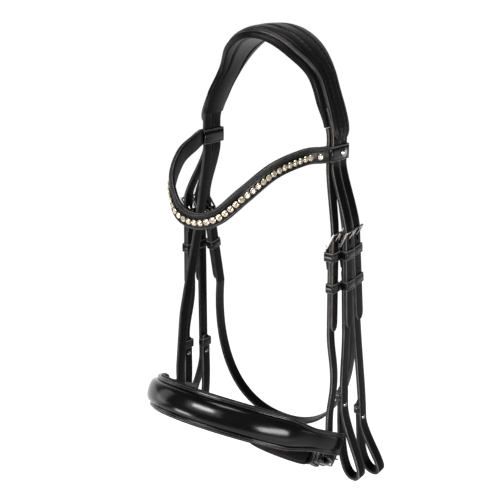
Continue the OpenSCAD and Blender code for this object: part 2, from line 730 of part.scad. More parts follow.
module throatlatch() {
  x = throat_half + lower_x;
  straight = -point_len - 3;
  low = strap_t / 2 - throat_drop;
  line = concat(
    [[-x, 0]],
    cubic([[-x, straight], [-x - throat_bulge, straight - 80], [6 - x - throat_bulge, low], [throat_low_x, low]], 14),
    cubic([[throat_low_x + 1, low], [40, low], [x, straight - 120], [x, straight]], 14),
    [[x, 0]]);
  outline = edge_outline(line, strap_t);
  half = len(line);
  near_fold = [for (p = fold_line) [throat_half + p[0], p[1]]];
  off_fold = [for (i = [len(fold_line) - 1:-1:0]) [-near_fold[i][0], near_fold[i][1]]];
  color(leather) translate([0, near_throat[2], -bar_drop]) rotate([near_throat[3], 0, 0]) difference() {
    rotate([90, 0, 0]) linear_extrude(strap_w, center = true)
      polygon(concat(inside(outline, 1, half + 1), near_fold, inside(outline, half + 1, 1), off_fold));
    for (m = [0, 1]) mirror([m, 0, 0]) translate([throat_half, 0, 0]) fold_room(strap_w);
  }
}

// Noseband front: flat sewn lips with a padded roll between them, narrowing to plain ends
function nose_fade(a) = 1 - ease((abs(a) - pad_fade[0]) / (pad_fade[1] - pad_fade[0]));

// Point of the noseband at angle a, distance n out from its inner face and height z
function nose_point(a, n, z) =
  let(out = unit([sin(a) / nose_half, -cos(a) / nose_depth]))
  [nose_half * sin(a) + n * out[0], -nose_depth * cos(a) + n * out[1], z];

function nose_ring(a, shift) =
  let(f = nose_fade(a), h = (nose_end_h + (nose_h - nose_end_h) * f) / 2,
      pad = end_pad + (nose_pad - end_pad) * f, roll = h - lip_h)
  [for (q = concat([[0, h], [lip_t - 0.6, h], [lip_t, h - 0.8]],
                   [for (k = [0:8]) [lip_t - 0.8 + (pad + 0.8) * pow(sin(k * 22.5), 0.7), roll * cos(k * 22.5)]],
                   [[lip_t, 0.8 - h], [lip_t - 0.6, -h], [0, -h]]))
    nose_point(a, q[0], q[1]) + [0, shift, 0]];

module noseband_front() {
  angles = concat([for (i = [-18:18]) i * 5]);
  rings = concat([nose_ring(-90, nose_tail)], [for (a = angles) nose_ring(a, 0)], [nose_ring(90, nose_tail)]);
  color(leather) at_noseband() loft(rings);
}

// Padded lining inside the front, standing a little above and below it
module noseband_lining() {
  color(lining_leather) at_noseband() loft([for (i = [-14:14])
    let(a = nose_lining_end * i / 14, f = nose_fade(a), h = (nose_end_h + (nose_h - nose_end_h) * f) / 2 + 1.5,
        thin = 0.4 + 0.6 * f, n = -layer_gap, t = nose_lining_t * thin)
    [for (q = [[n, h - 2], [n - t * 0.35, h], [n - t * 0.8, h - 1.5], [n - t, h - 6],
               [n - t, 6 - h], [n - t * 0.8, 1.5 - h], [n - t * 0.35, -h], [n, 2 - h]])
      nose_point(a, q[0], q[1])]]);
}

// Chin strap in its own plane, buckled on the near side and sewn inside the off end
chin_out = [cos(chin_turn), sin(chin_turn)];
chin_on = [-sin(chin_turn), cos(chin_turn)];
function chin_place(out, on) = chin_bar + chin_out * out + chin_on * on;
chin_side = nose_half - layer_gap - strap_t / 2 - 0.6;
chin_bend = chin_place(lower_x, chin_straight);
chin_curve = cubic([chin_bend, chin_bend + chin_on * 8, [24, chin_depth], [0, chin_depth]], 6);
function flip(p) = [-p[0], p[1]];

module chin_strap() {
  line = concat(
    [chin_place(lower_x, 0)], chin_curve,
    [for (i = [5:-1:0]) flip(chin_curve[i])],
    eased([flip(chin_place(lower_x, 30)), flip(chin_place(lower_x, -6)), [-chin_side, 8], [-chin_side, -6]], 8, 3));
  fold = [for (i = [len(fold_line) - 1:-1:0]) chin_place(fold_line[i][0], -fold_line[i][1])];
  color(leather) at_chin() difference() {
    linear_extrude(chin_w, center = true) polygon(concat(inside(edge_outline(line, strap_t), 1, 1), fold));
    translate(chin_bar) rotate([0, 0, chin_turn]) rotate([90, 0, 0]) fold_room(chin_w);
  }
}

module chin_point() {
  line = concat(
    eased([[chin_side, -6], [chin_side, 6], chin_place(upper_x, -15), chin_place(upper_x, chin_point_len)], 8, 4));
  color(leather) at_chin() difference() {
    linear_extrude(chin_w, center = true) polygon(edge_outline(line, strap_t));
    translate(chin_bar) rotate([0, 0, chin_turn]) rotate([90, 0, 0]) {
      tongue_slot();
      punched_hole(6 - hole_pitch);
    }
  }
}

// Chin pad: a crowned cushion inside the middle of the chin strap
module chin_pad() {
  line = concat(chin_curve, [for (i = [5:-1:0]) flip(chin_curve[i])]);
  last = len(line) - 1;
  color(lining_leather) at_chin() loft([for (i = [0:last])
    let(d = heading(line, i), inward = [d[1], -d[0]] * -1, f = 0.35 + 0.65 * sqrt(sin(180 * i / last)),
        h = (chin_w / 2 + 3) * (0.7 + 0.3 * f), base = strap_t / 2 + layer_gap)
    [for (q = [[0, h - 1.5], [0.3, h], [0.7, h - 1], [1, h * 0.5], [1, -h * 0.5], [0.7, 1 - h], [0.3, -h], [0, 1.5 - h]])
      let(p = line[i] + inward * (base + q[0] * chin_pad_t * f)) [p[0], p[1], q[1]]]]);
}

module chin_buckle() { color(chrome) at_chin_bar() frame(chin_w); }
module chin_tongue() { color(chrome) at_chin_bar() tongue(); }
module chin_runner() { color(leather) at_chin_bar() runner(chin_runner_drop, chin_w); }

crown_cover();
crown_core();
crown_lining();
browband();
browband_lining();
near_browband_loop();
off_browband_loop();
stone_cups();
stones();
loop_studs();
near_noseband_point();
near_front_point();
near_rear_point();
near_throat_point();
off_front_point();
off_rear_point();
off_throat_point();
near_noseband_buckle();
near_front_buckle();
near_rear_buckle();
near_throat_buckle();
off_front_buckle();
off_rear_buckle();
off_throat_buckle();
near_noseband_tongue();
near_front_tongue();
near_rear_tongue();
near_throat_tongue();
off_front_tongue();
off_rear_tongue();
off_throat_tongue();
near_noseband_runner();
near_front_runner();
near_rear_runner();
near_throat_runner();
off_front_runner();
off_rear_runner();
off_throat_runner();
near_front_cheekpiece();
near_rear_cheekpiece();
off_front_cheekpiece();
off_rear_cheekpiece();
near_noseband_hanger();
off_noseband_hanger();
throatlatch();
noseband_front();
noseband_lining();
chin_point();
chin_strap();
chin_pad();
chin_buckle();
chin_tongue();
chin_runner();
fixed_keepers();
billet_keepers();
hook_studs();
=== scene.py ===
from collections import namedtuple

import bpy
import numpy as np
from mathutils import Matrix


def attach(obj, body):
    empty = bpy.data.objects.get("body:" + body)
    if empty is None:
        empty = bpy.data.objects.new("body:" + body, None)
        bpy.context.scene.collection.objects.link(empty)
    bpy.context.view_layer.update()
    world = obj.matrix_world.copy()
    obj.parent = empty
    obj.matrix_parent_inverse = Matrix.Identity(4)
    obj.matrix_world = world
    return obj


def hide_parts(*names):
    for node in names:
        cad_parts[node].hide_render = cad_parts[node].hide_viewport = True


bl_info = {
    "name": "Padded Bridle",
    "version": (1, 0, 0),
    "blender": (4, 5, 0),
    "location": "View3D > Sidebar > Bridle",
    "description": "Dresses the bridle's frame with leather straps, padding, stitching, metal and stones",
    "category": "Object",
}

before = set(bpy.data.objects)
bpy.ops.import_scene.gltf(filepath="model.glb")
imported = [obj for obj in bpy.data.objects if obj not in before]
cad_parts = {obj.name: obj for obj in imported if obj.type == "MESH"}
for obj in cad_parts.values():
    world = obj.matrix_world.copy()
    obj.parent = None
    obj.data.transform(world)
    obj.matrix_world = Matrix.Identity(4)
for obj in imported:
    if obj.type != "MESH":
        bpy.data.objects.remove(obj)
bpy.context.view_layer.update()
ROOT = "headstall"
BAND = "browband_set"

# Fixed measures of the frame, in millimetres
GAP = 0.3
SEAT = 0.15
WIRE = 1.2
BAR_R = WIRE + 0.06
EYE_R = BAR_R + 1.6
BAR_X = -SEAT - EYE_R
BAR_DROP = 203.0
POINT_LEN = 92.0
FRAME_H, TONGUE_R, TONGUE_REST, TONGUE_LIFT = 17.0, 1.0, 2.35, 20.0
SLOT_ROOM, SLOT_SIDE = 0.6, 0.35
CROWN_HALF, CROWN_RISE, CROWN_FLARE, CROWN_SKEW, CROWN_W = 84.0, 140.0, 4.0, 2.5, 60.0
LINING_T, LINING_ROLL = 6.0, 8.0
HALF_TABLE = [0.5, 0.475, 0.41, 0.26, 0.225, 0.24]
MIDDLE_TABLE = [3, 4, 7, 11, 6.5, 3.5]
NOSE_HALF, NOSE_DEPTH, NOSE_DROP, NOSE_TILT = 106.0, 135.0, 429.0, 27.0
NOSE_H, NOSE_END_H, LIP_T, LIP_H, NOSE_TAIL = 35.0, 25.0, 3.6, 5.0, 16.0
CHIN_TILT, CHIN_TURN, CHIN_DEPTH, CHIN_W = 45.0, 45.0, 72.0, 16.0
CHIN_BAR = np.array([NOSE_HALF - 22, 26.0])
HOLE_PITCH, HOLE_R, FIRST_HOLE, HOOK_HOLE_R = 19.0, 1.15, 6.0, 1.4
EASE_CUT = 7.0
KEEPER_H, KEEPER_WALL, KEEPER_FIT = 10.0, 1.4, 0.3
FIXED_Z, RUNNING_Z, CHIN_RUNNING_Z = -10.0, -44.0, -36.0
LOOP_H, LOOP_WALL, LOOP_FIT = 16.0, 1.8, 0.4
LOOP_ANGLE, LOOP_RUN, LOOP_DROP, CROWN_END = 74.0, LOOP_H / 2 + 4, 14.5, 76.0
BROW_W, BROW_DEPTH, BROW_DIP = 16.5, 110.0, 60.0
STONE_PITCH, STONES_A_SIDE, END_STONE = 6.9, 21, 11.73
STRAP_STEP, TIP_RUN, ROW_SCALE = 1.6, 9.0, 6.5

# Angle past which an edge is crisp, and the edge mark of a cut wall
CRISP, RAW_EDGE = np.radians(48), 0.8


class BridleSizes(bpy.types.PropertyGroup):
    strap_width: bpy.props.FloatProperty(
        name="Strap Width", description="Width of the cheek and throat straps",
        default=0.013, min=0.011, max=0.014, unit="LENGTH")
    strap_thickness: bpy.props.FloatProperty(
        name="Strap Thickness", description="Thickness of every strap",
        default=0.0032, min=0.0026, max=0.0036, unit="LENGTH")
    hanger_width: bpy.props.FloatProperty(
        name="Hanger Width", description="Width of the near noseband hanger",
        default=0.011, min=0.009, max=0.012, unit="LENGTH")
    crown_padding: bpy.props.FloatProperty(
        name="Crown Padding", description="Height of the padding on the crown",
        default=0.004, min=0.002, max=0.006, unit="LENGTH")
    channel_depth: bpy.props.FloatProperty(
        name="Channel Depth", description="Depth of the channels sewn along the crown",
        default=0.0016, min=0.0, max=0.003, unit="LENGTH")
    nose_padding: bpy.props.FloatProperty(
        name="Noseband Padding", description="How far the noseband's roll stands out",
        default=0.0065, min=0.004, max=0.008, unit="LENGTH")
    pucker: bpy.props.FloatProperty(
        name="Pucker", description="Depth of the puckers beside the sewn lines",
        default=0.00016, min=0.0, max=0.0006, unit="LENGTH")


class BridleColours(bpy.types.PropertyGroup):
    leather: bpy.props.FloatVectorProperty(
        name="Leather", description="Grain side of the straps and padding",
        subtype="COLOR", size=4, min=0.0, max=1.0, default=(0.0034, 0.0030, 0.0032, 1.0))
    # Strap Edge colour is partly burnished wear and partly a painted highlight: pale where the bevels would catch the
    # light.
    edge: bpy.props.FloatVectorProperty(
        name="Strap Edge", description="Burnished cut edge of the straps",
        subtype="COLOR", size=4, min=0.0, max=1.0, default=(0.19, 0.183, 0.178, 1.0))
    lining: bpy.props.FloatVectorProperty(
        name="Lining", description="Soft leather on the inside",
        subtype="COLOR", size=4, min=0.0, max=1.0, default=(0.0070, 0.0061, 0.0060, 1.0))
    thread: bpy.props.FloatVectorProperty(
        name="Thread", description="Sewing thread",
        subtype="COLOR", size=4, min=0.0, max=1.0, default=(0.045, 0.043, 0.043, 1.0))
    metal: bpy.props.FloatVectorProperty(
        name="Metal", description="Buckles, studs and cups",
        subtype="COLOR", size=4, min=0.0, max=1.0, default=(0.46, 0.45, 0.44, 1.0))
    stone: bpy.props.FloatVectorProperty(
        name="Stone", description="Cut stones on the browband",
        subtype="COLOR", size=4, min=0.0, max=1.0, default=(0.92, 0.74, 0.49, 1.0))


def sizes():
    """Sizes that a user may change, in metres."""
    return bpy.context.scene.bridle_sizes


def colours():
    """Colours that a user may change."""
    return bpy.context.scene.bridle_colours


# Curves

def unit(v):
    """Each vector divided by its own length."""
    return v / np.linalg.norm(v, axis=-1, keepdims=True)


def ease(t):
    """Three t squared minus two t cubed, held at 0 and 1 outside that range."""
    t = np.clip(t, 0.0, 1.0)
    return t * t * (3 - 2 * t)


def smooth_at(table, u):
    """Cubic through an evenly spaced table whose slope at each entry is half the step between its neighbours."""
    v = np.asarray(table, float)
    u = np.asarray(u, float)
    i = np.clip(np.floor(u).astype(int), 0, len(v) - 2)
    t = u - i
    if v.ndim > 1:
        t = t[..., None]
    a, b, c, d = (v[np.clip(i + k, 0, len(v) - 1)] for k in (-1, 0, 1, 2))
    return b + 0.5 * t * (c - a + t * (2 * a - 5 * b + 4 * c - d + t * (3 * (b - c) + d - a)))


def cubic(h, n=24):
    """Points of the cubic curve with four handles: their sum weighted by the terms of (1 - t + t) cubed."""
    h = np.asarray(h, float)
    t = np.linspace(0, 1, n + 1)[:, None]
    s = 1 - t
    return s ** 3 * h[0] + 3 * s * s * t * h[1] + 3 * s * t * t * h[2] + t ** 3 * h[3]


def eased(points, cut):
    """Straight legs through corner points, each corner replaced by a quadratic curve over the length cut on both
    sides, or over its own pair of lengths where cut is a list of one pair for each corner."""
    p = [np.asarray(q, float) for q in points]
    cuts = cut if isinstance(cut, list) else [(cut, cut)] * (len(p) - 2)
    out = [p[0][None]]
    t = np.linspace(0, 1, 17)[:, None]
    for a, b, c, (before, after) in zip(p, p[1:], p[2:], cuts):
        back, on = a - b, c - b
        lo = b + unit(back) * min(before, np.linalg.norm(back) * 0.45)
        hi = b + unit(on) * min(after, np.linalg.norm(on) * 0.45)
        out.append((1 - t) ** 2 * lo + 2 * t * (1 - t) * b + t * t * hi)
    return np.concatenate(out + [p[-1][None]])


def run_length(path):
    """Distance along the path to each of its points: the running sum of its steps."""
    return np.r_[0, np.cumsum(np.linalg.norm(np.diff(path, axis=0), axis=1))]


def evenly(path, step):
    """The path cut again at equal distances along its length, with those distances."""
    path = np.asarray(path, float)
    far = run_length(path)
    keep = np.r_[True, np.diff(far) > 1e-9]
    far, path = far[keep], path[keep]
    s = np.linspace(0, far[-1], max(2, int(round(far[-1] / step))) + 1)
    return np.stack([np.interp(s, far, path[:, k]) for k in range(path.shape[1])], 1), s


# Meshes

def skin(name, grid, uv, edge, material, loop=False):
    """Closed skin over a grid of points in millimetres. The second parameter runs round the section and closes on
    itself; the first runs along the piece, and closes too where loop is set, or else ends in two flat caps."""
    n, m = grid.shape[:2]
    rows = n if loop else n - 1
    i, k = np.meshgrid(np.arange(rows), np.arange(m), indexing="ij")
    i1, k1 = (i + 1) % n, (k + 1) % m
    quads = np.stack([i * m + k, i * m + k1, i1 * m + k1, i1 * m + k], -1).reshape(-1, 4)
    pts = grid.reshape(-1, 3)
    centre = pts.mean(0)
    a, b, c, d = (pts[quads[:, j]] - centre for j in range(4))
    volume = np.einsum("ij,ij->", a, np.cross(b, c)) + np.einsum("ij,ij->", a, np.cross(c, d))
    caps = np.zeros((0, m), int) if loop else np.stack([np.arange(m)[::-1], np.arange(m) + (n - 1) * m])
    if volume < 0:
        quads, caps = quads[:, ::-1], caps[:, ::-1]
    mesh = bpy.data.meshes.new(name)
    mesh.from_pydata((pts * 0.001).tolist(), [], quads.tolist() + caps.tolist())
    index = np.zeros(len(mesh.loops), np.int32)
    mesh.loops.foreach_get("vertex_index", index)
    layer = mesh.uv_layers.new(name="run")
    layer.data.foreach_set("uv", uv.reshape(-1, 2)[index].astype(np.float32).ravel())
    mark = mesh.attributes.new("edge", "FLOAT", "POINT")
    mark.data.foreach_set("value", edge.astype(np.float32).ravel())
    mesh.polygons.foreach_set("use_smooth", np.ones(len(mesh.polygons), bool))
    mesh.set_sharp_from_angle(angle=CRISP)
    mesh.materials.append(material)
    obj = bpy.data.objects.new(name, mesh)
    bpy.context.scene.collection.objects.link(obj)
    return obj


def settle(obj, body, slot, *nodes):
    """The piece rides on its body and stands for its nodes, which are hidden. slot is not used."""
    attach(obj, body)
    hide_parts(*nodes)


def strap_section(thick):
    """Across and height, as fractions of half the width and in millimetres, round a strap: a gently crowned grain
    side with a pressed line near each edge, rounded edges and a flat flesh side."""
    b = thick / 2
    across = [-1, -0.985, -0.94, -0.86, -0.82, -0.78, -0.5, 0, 0.5, 0.78, 0.82, 0.86, 0.94, 0.985, 1]
    drop = [0.95, 0.4, 0.1, 0.02, 0.28, 0.04, 0.02, 0, 0.02, 0.04, 0.28, 0.02, 0.1, 0.4, 0.95]
    # Edge mark: where the pale edge colour goes, strongest on the top bevel as a painted highlight, partly burnished
    # wear.
    edge = [0.35, 1, 0.9, 0.1, 0.3, 0.05, 0, 0, 0, 0.05, 0.3, 0.1, 0.9, 1, 0.35]
    across += [1, 0.96, 0.88, -0.88, -0.96, -1]
    height = [b - d for d in drop] + [0.5 - b, 0.05 - b, -b, -b, 0.05 - b, 0.5 - b]
    edge += [0.35, 0.3, 0, 0, 0.3, 0.35]
    return np.array(across), np.array(height), np.array(edge)


def strap(path, across, width, thick, tip=False):
    """Strap along a path: its section is carried square to the path, with its width along the given direction.
    thick is a number, or a function of the distance along the strap. tip rounds the far end to a point."""
    path, s = evenly(path, STRAP_STEP)
    across = np.broadcast_to(np.asarray(across(s / s[-1]) if callable(across) else across, float), path.shape)
    d = unit(np.gradient(path, axis=0))
    w = unit(across - np.sum(across * d, 1, keepdims=True) * d)
    n = np.cross(d, w)
    half = np.full(len(s), width / 2)
    slim = thick(s) if callable(thick) else np.full(len(s), float(thick))
    if tip:
        half = half * np.sqrt(1 - (0.93 * np.clip((s - s[-1] + TIP_RUN) / TIP_RUN, 0, 1)) ** 2)
    full = float(slim.max())
    u, h, e = strap_section(full)
    grid = (path[:, None] + w[:, None] * (half[:, None] * u)[..., None]
            + n[:, None] * (slim[:, None] / full * h)[..., None])
    shape = grid.shape[:2]
    uv = np.stack([np.broadcast_to(u * ROW_SCALE, shape), np.broadcast_to(s[:, None], shape)], -1)
    return grid, uv, np.broadcast_to(e, shape)


def band_ring(lo, hi, r, height, wall):
    """Leather loop: a slightly crowned wall section carried round a rectangle with rounded corners."""
    r = r + wall / 2
    lo, hi = np.asarray(lo, float) - wall / 2, np.asarray(hi, float) + wall / 2
    turn = np.radians(np.linspace(0, 90, 7))
    path, out = [], []
    (x0, y0), (x1, y1) = lo + r, hi - r
    for k, (x, y) in enumerate([(x1, y1), (x0, y1), (x0, y0), (x1, y0)]):
        way = np.stack([np.cos(turn + k * np.pi / 2), np.sin(turn + k * np.pi / 2)], 1)
        path.append(np.array([x, y]) + r * way)
        out.append(way)
    path, out = np.concatenate(path), np.concatenate(out)
    h, b = height / 2, wall / 2
    rim = h - np.array([0, 0.15, 0.6, 1.5, 1.8, 2.1])
    z = np.r_[-rim, 0, rim[::-1], h - 0.3, 0.3 - h]
    t = np.array([b - 0.6, b - 0.2, b, b, b - 0.22, b, b + 0.15, b, b - 0.22, b, b, b - 0.2, b - 0.6, -b, -b])
    # Edge mark of keepers and loops: pale rims, partly wear and partly a painted highlight.
    e = np.array([1, 1, 0.7, 0, 0.3, 0, 0, 0, 0.3, 0, 0.7, 1, 1, 0.4, 0.4])
    grid = np.concatenate([
        path[:, None] + out[:, None] * t[:, None],
        np.broadcast_to(z[:, None], (len(path), len(z), 1))], -1)
    far = run_length(path)
    uv = np.stack([np.broadcast_to(z, grid.shape[:2]), np.broadcast_to(far[:, None], grid.shape[:2])], -1)
    return grid, uv, np.broadcast_to(e, grid.shape[:2])


def tube_cutter(places, radius, length):
    """Round prisms on given centres and directions, as one cutting mesh: a circle swept along each direction."""
    a = np.linspace(0, 2 * np.pi, 17)[:-1]
    pts, faces = [], []
    for centre, axis in places:
        axis = unit(np.asarray(axis, float))
        side = unit(np.cross(axis, [0.3, 0.5, 0.81]))
        other = np.cross(axis, side)
        ring = np.asarray(centre, float) + radius * (np.cos(a)[:, None] * side + np.sin(a)[:, None] * other)
        base = len(pts) * 32
        pts.append(np.concatenate([ring - axis * length / 2, ring + axis * length / 2]))
        k = np.arange(16)
        faces += (base + np.stack([k, (k + 1) % 16, (k + 1) % 16 + 16, k + 16], 1)).tolist()
        faces += [(base + k[::-1]).tolist(), (base + k + 16).tolist()]
    return np.concatenate(pts), faces


def cut(obj, pts, faces):
    """Takes the cutting mesh out of the piece, marks the cut walls as raw edge and leaves no modifier behind."""
    mesh = bpy.data.meshes.new("cutter")
    mesh.from_pydata((np.asarray(pts) * 0.001).tolist(), [], faces)
    raw = mesh.attributes.new("edge", "FLOAT", "POINT")
    raw.data.foreach_set("value", np.full(len(pts), RAW_EDGE, np.float32))
    tool = bpy.data.objects.new("cutter", mesh)
    bpy.context.scene.collection.objects.link(tool)
    mod = obj.modifiers.new("cut", "BOOLEAN")
    mod.operation, mod.solver, mod.object = "DIFFERENCE", "EXACT", tool
    bpy.context.view_layer.update()
    made = bpy.data.meshes.new_from_object(obj.evaluated_get(bpy.context.evaluated_depsgraph_get()))
    obj.modifiers.clear()
    old = obj.data
    made.name = obj.name
    obj.data = made
    bpy.data.meshes.remove(old)
    bpy.data.objects.remove(tool)
    bpy.data.meshes.remove(mesh)
    obj.data.set_sharp_from_angle(angle=CRISP)


def cut_placed(obj, shape, place, side=1):
    """Cuts a shape given in a strap's own frame, moved by place; the off side's mirror turns its faces over."""
    pts, faces = shape
    cut(obj, to_side(place(pts), side), faces if side > 0 else [f[::-1] for f in faces])


# Hanging straps

Hung = namedtuple("Hung", "side out back lean width bow length loop", defaults=(None, None, None))


def hung_straps():
    """Each hanging strap's side, distance out and back, lean in degrees and width, then a cheekpiece's bow at its
    billet, its length to the bit and its billet's length."""
    w = width_mm()
    pitch = w + 0.8 + 4 * WIRE + 1.4
    return {
        "near_noseband": Hung(1, NOSE_HALF - 0.6, -32, 1, sizes().hanger_width * 1000),
        "near_front": Hung(1, 112, -16, 3.5, w, 3.5, 276, 84),
        "near_rear": Hung(1, 108.5, -16 + pitch, 7, w, -3, 285, 64),
        "near_throat": Hung(1, 95, 7, 11, w),
        "off_front": Hung(-1, 108.5, -12, -1, w, -9, 262, 78),
        "off_rear": Hung(-1, 109, -12 + pitch, 0, w, 0, 270, 84),
        "off_throat": Hung(-1, 95, 7, 11, w),
    }


def hung_point(s, p):
    """Point of a hung strap's own frame, leaned back and moved to its buckle, in the near side's frame."""
    p = np.asarray(p, float)
    c, n = np.cos(np.radians(s.lean)), np.sin(np.radians(s.lean))
    return np.stack([s.out + p[..., 0], s.back + p[..., 1] * c - p[..., 2] * n,
                     p[..., 1] * n + p[..., 2] * c - BAR_DROP], -1)


def hung_across(s):
    """Width direction of a hung strap: straight back, leaned with the strap."""
    return np.array([0, np.cos(np.radians(s.lean)), np.sin(np.radians(s.lean))])


def to_side(grid, side):
    """Points of the near side, mirrored where side is minus one."""
    return grid * np.array([side, 1, 1])


def width_mm():
    """Width of the cheek and throat straps."""
    return sizes().strap_width * 1000


def thick_mm():
    """Thickness of every strap."""
    return sizes().strap_thickness * 1000


def lower_x():
    """Middle of the strap under the buckle's seat."""
    return -SEAT - thick_mm() / 2


def upper_x():
    """Middle of the strap point over the buckle's seat."""
    return SEAT + thick_mm() / 2


def tongue_slot():
    """Prism with round ends that clears the tongue from rest to its full lift, in the strap's own frame."""
    face = SEAT + thick_mm()
    rest = np.arcsin((face + GAP + WIRE - BAR_X) / FRAME_H) + np.arcsin(TONGUE_REST / FRAME_H)
    lift = rest + np.radians(TONGUE_LIFT)
    low = (SEAT - BAR_X) / np.tan(lift) - TONGUE_R / np.sin(lift) - SLOT_ROOM
    high = (face - BAR_X) / np.tan(rest) + TONGUE_R / np.sin(rest) + SLOT_ROOM
    a, r = np.linspace(0, np.pi, 10), TONGUE_R + SLOT_SIDE
    y = np.r_[r * np.cos(a), -r * np.cos(a)]
    z = np.r_[high - r + r * np.sin(a), low + r - r * np.sin(a)]
    n = len(y)
    k = np.arange(n)
    pts = np.concatenate([np.stack([np.full(n, q), y, z], 1) for q in (-SEAT - 0.2, face + 0.4)])
    faces = np.stack([k, (k + 1) % n, (k + 1) % n + n, k + n], 1).tolist() + [k[::-1].tolist(), (k + n).tolist()]
    return pts, faces


# Crown

def crown_x(phi):
    """Half width times the sine, with the ends flared out again from 50 degrees to the crown's end."""
    flare = CROWN_FLARE * np.sign(phi) * ease((np.abs(phi) - 50) / (CROWN_END - 50))
    return CROWN_HALF * np.sin(np.radians(phi)) + flare


def layer_out():
    """Height from the crown core's middle to the layer above or below it."""
    return thick_mm() / 2 + GAP


def crown_point(phi, y, n):
    """Point on the arch at angle phi, distance back y and height n along the arch's outward normal."""
    phi, y, n = np.broadcast_arrays(*(np.asarray(q, float) for q in (phi, y, n)))
    a = np.radians(phi)
    up = unit(np.stack([CROWN_RISE * np.sin(a), CROWN_HALF * np.cos(a)], -1))
    top = LINING_T + layer_out()
    return np.stack([crown_x(phi) + n * up[..., 0], y, top - CROWN_RISE * (1 - np.cos(a)) + n * up[..., 1]], -1)


def crown_middle(phi):
    """Distance back of the crown's middle line: a smooth table by angle, skewed by the angle's sine."""
    return smooth_at(MIDDLE_TABLE, np.abs(phi) / 15) + CROWN_SKEW * np.sin(np.radians(phi)) / np.sin(np.radians(75))


def crown_reach(phi):
    """Half width of the crown: a smooth table by angle that eases into the width of two straps at the ends."""
    k = ease((np.abs(phi) - 52) / 12)
    return CROWN_W * smooth_at(HALF_TABLE, np.abs(phi) / 15) * (1 - k) + (width_mm() + GAP + 1) * k


def tab_y(side):
    """Distance back of the middle of the crown's end."""
    return MIDDLE_TABLE[5] + side * CROWN_SKEW


def front_y(side):
    """Distance back of the front cheek strap at the crown."""
    return tab_y(side) - (width_mm() + GAP) / 2


def rear_y(side):
    """Distance back of the rear cheek strap at the crown."""
    return tab_y(side) + (width_mm() + GAP) / 2


def nose_strap_w(side):
    """Width of the noseband's strap, which is narrower on the near side."""
    return (sizes().hanger_width if side > 0 else sizes().strap_width) * 1000


def nose_strap_y(side):
    """Distance back of the noseband's strap at the crown."""
    return front_y(side) - 4


def throat_strap_y(side):
    """Distance back of the throat strap, with 2 mm between its edge and the noseband strap's."""
    return nose_strap_y(side) + (nose_strap_w(side) + width_mm()) / 2 + 2


def loop_z():
    """Height of the middle of the browband's loops, below the crown's end."""
    return LINING_T + layer_out() - CROWN_RISE * (1 - np.cos(np.radians(CROWN_END))) - LOOP_DROP


def loop_box(side):
    """Corners of the room inside a loop: two layers of straps, with a little clearance all round."""
    x = crown_x(LOOP_ANGLE)
    t = thick_mm()
    lo = np.array([x - t - GAP - t / 2 - LOOP_FIT, nose_strap_y(side) - nose_strap_w(side) / 2 - LOOP_FIT])
    hi = np.array([x + t / 2 + LOOP_FIT, rear_y(side) + width_mm() / 2 + LOOP_FIT])
    return lo, hi


# Finishes

def socket(group, name, kind, way="INPUT", default=None):
    """New socket on a group, with its default."""
    s = group.interface.new_socket(name=name, in_out=way, socket_type=kind)
    if default is not None:
        s.default_value = default


def math_node(tree, op, a, b=None, c=None, clamp=False):
    """One Math node; an input that is a number is set on its socket, and one that is a socket is linked."""
    node = tree.nodes.new("ShaderNodeMath")
    node.operation, node.use_clamp = op, clamp
    for k, v in enumerate((a, b, c)):
        if v is None:
            continue
        if isinstance(v, (int, float)):
            node.inputs[k].default_value = v
        else:
            tree.links.new(v, node.inputs[k])
    return node.outputs[0]


def shown_white(tree, share=None):
    """One for rays from the camera and through clear things, and for mirrored rays too, or a share of those."""
    path = tree.nodes.new("ShaderNodeLightPath")
    mirrored = path.outputs["Is Glossy Ray"]
    if share is not None:
        mirrored = math_node(tree, "MULTIPLY", mirrored, share)
    through = math_node(tree, "ADD", path.outputs["Is Camera Ray"], path.outputs["Is Transmission Ray"])
    return math_node(tree, "ADD", through, mirrored, clamp=True)


def away_share(tree, where, low, high):
    """Smooth step from nought to one over the distance, or the direction, that lies behind the piece."""
    away = tree.nodes.new("ShaderNodeVectorMath")
    away.operation = "DOT_PRODUCT"
    away.inputs[1].default_value = (-0.6157, 0.788, 0.0)
    tree.links.new(where, away.inputs[0])
    ramp = tree.nodes.new("ShaderNodeMapRange")
    ramp.interpolation_type = "SMOOTHSTEP"
    ramp.inputs["From Min"].default_value = low
    ramp.inputs["From Max"].default_value = high
    tree.links.new(away.outputs["Value"], ramp.inputs["Value"])
    return ramp.outputs["Result"]


def new_group(name):
    """The named shader group, and whether it was there already."""
    old = bpy.data.node_groups.get(name)
    if old:
        return old, True
    return bpy.data.node_groups.new(name, "ShaderNodeTree"), False


def grain_group():
    """Leather grain: small pebbles between fine creases, with broad soft unevenness."""
    g, ready = new_group("leather grain")
    if ready:
        return g
    socket(g, "Vector", "NodeSocketVector")
    socket(g, "Pebble", "NodeSocketFloat", default=900.0)
    socket(g, "Height", "NodeSocketFloat", "OUTPUT")
    socket(g, "Tone", "NodeSocketFloat", "OUTPUT")
    i, o = g.nodes.new("NodeGroupInput"), g.nodes.new("NodeGroupOutput")
    cells = g.nodes.new("ShaderNodeTexVoronoi")
    cells.feature = "SMOOTH_F1"
    fine = g.nodes.new("ShaderNodeTexNoise")
    fine.inputs["Detail"].default_value = 3
    broad = g.nodes.new("ShaderNodeTexNoise")
    broad.inputs["Scale"].default_value = 38
    broad.inputs["Detail"].default_value = 3
    for n in (cells, fine, broad):
        g.links.new(i.outputs["Vector"], n.inputs["Vector"])
    g.links.new(i.outputs["Pebble"], cells.inputs["Scale"])
    g.links.new(math_node(g, "MULTIPLY", i.outputs["Pebble"], 2.3), fine.inputs["Scale"])
    height = math_node(g, "MULTIPLY_ADD", cells.outputs["Distance"], -0.8, fine.outputs["Fac"])
    g.links.new(height, o.inputs["Height"])
    speck = math_node(g, "MULTIPLY", fine.outputs["Fac"], 0.25)
    g.links.new(math_node(g, "MULTIPLY_ADD", broad.outputs["Fac"], 0.8, speck), o.inputs["Tone"])
    return g


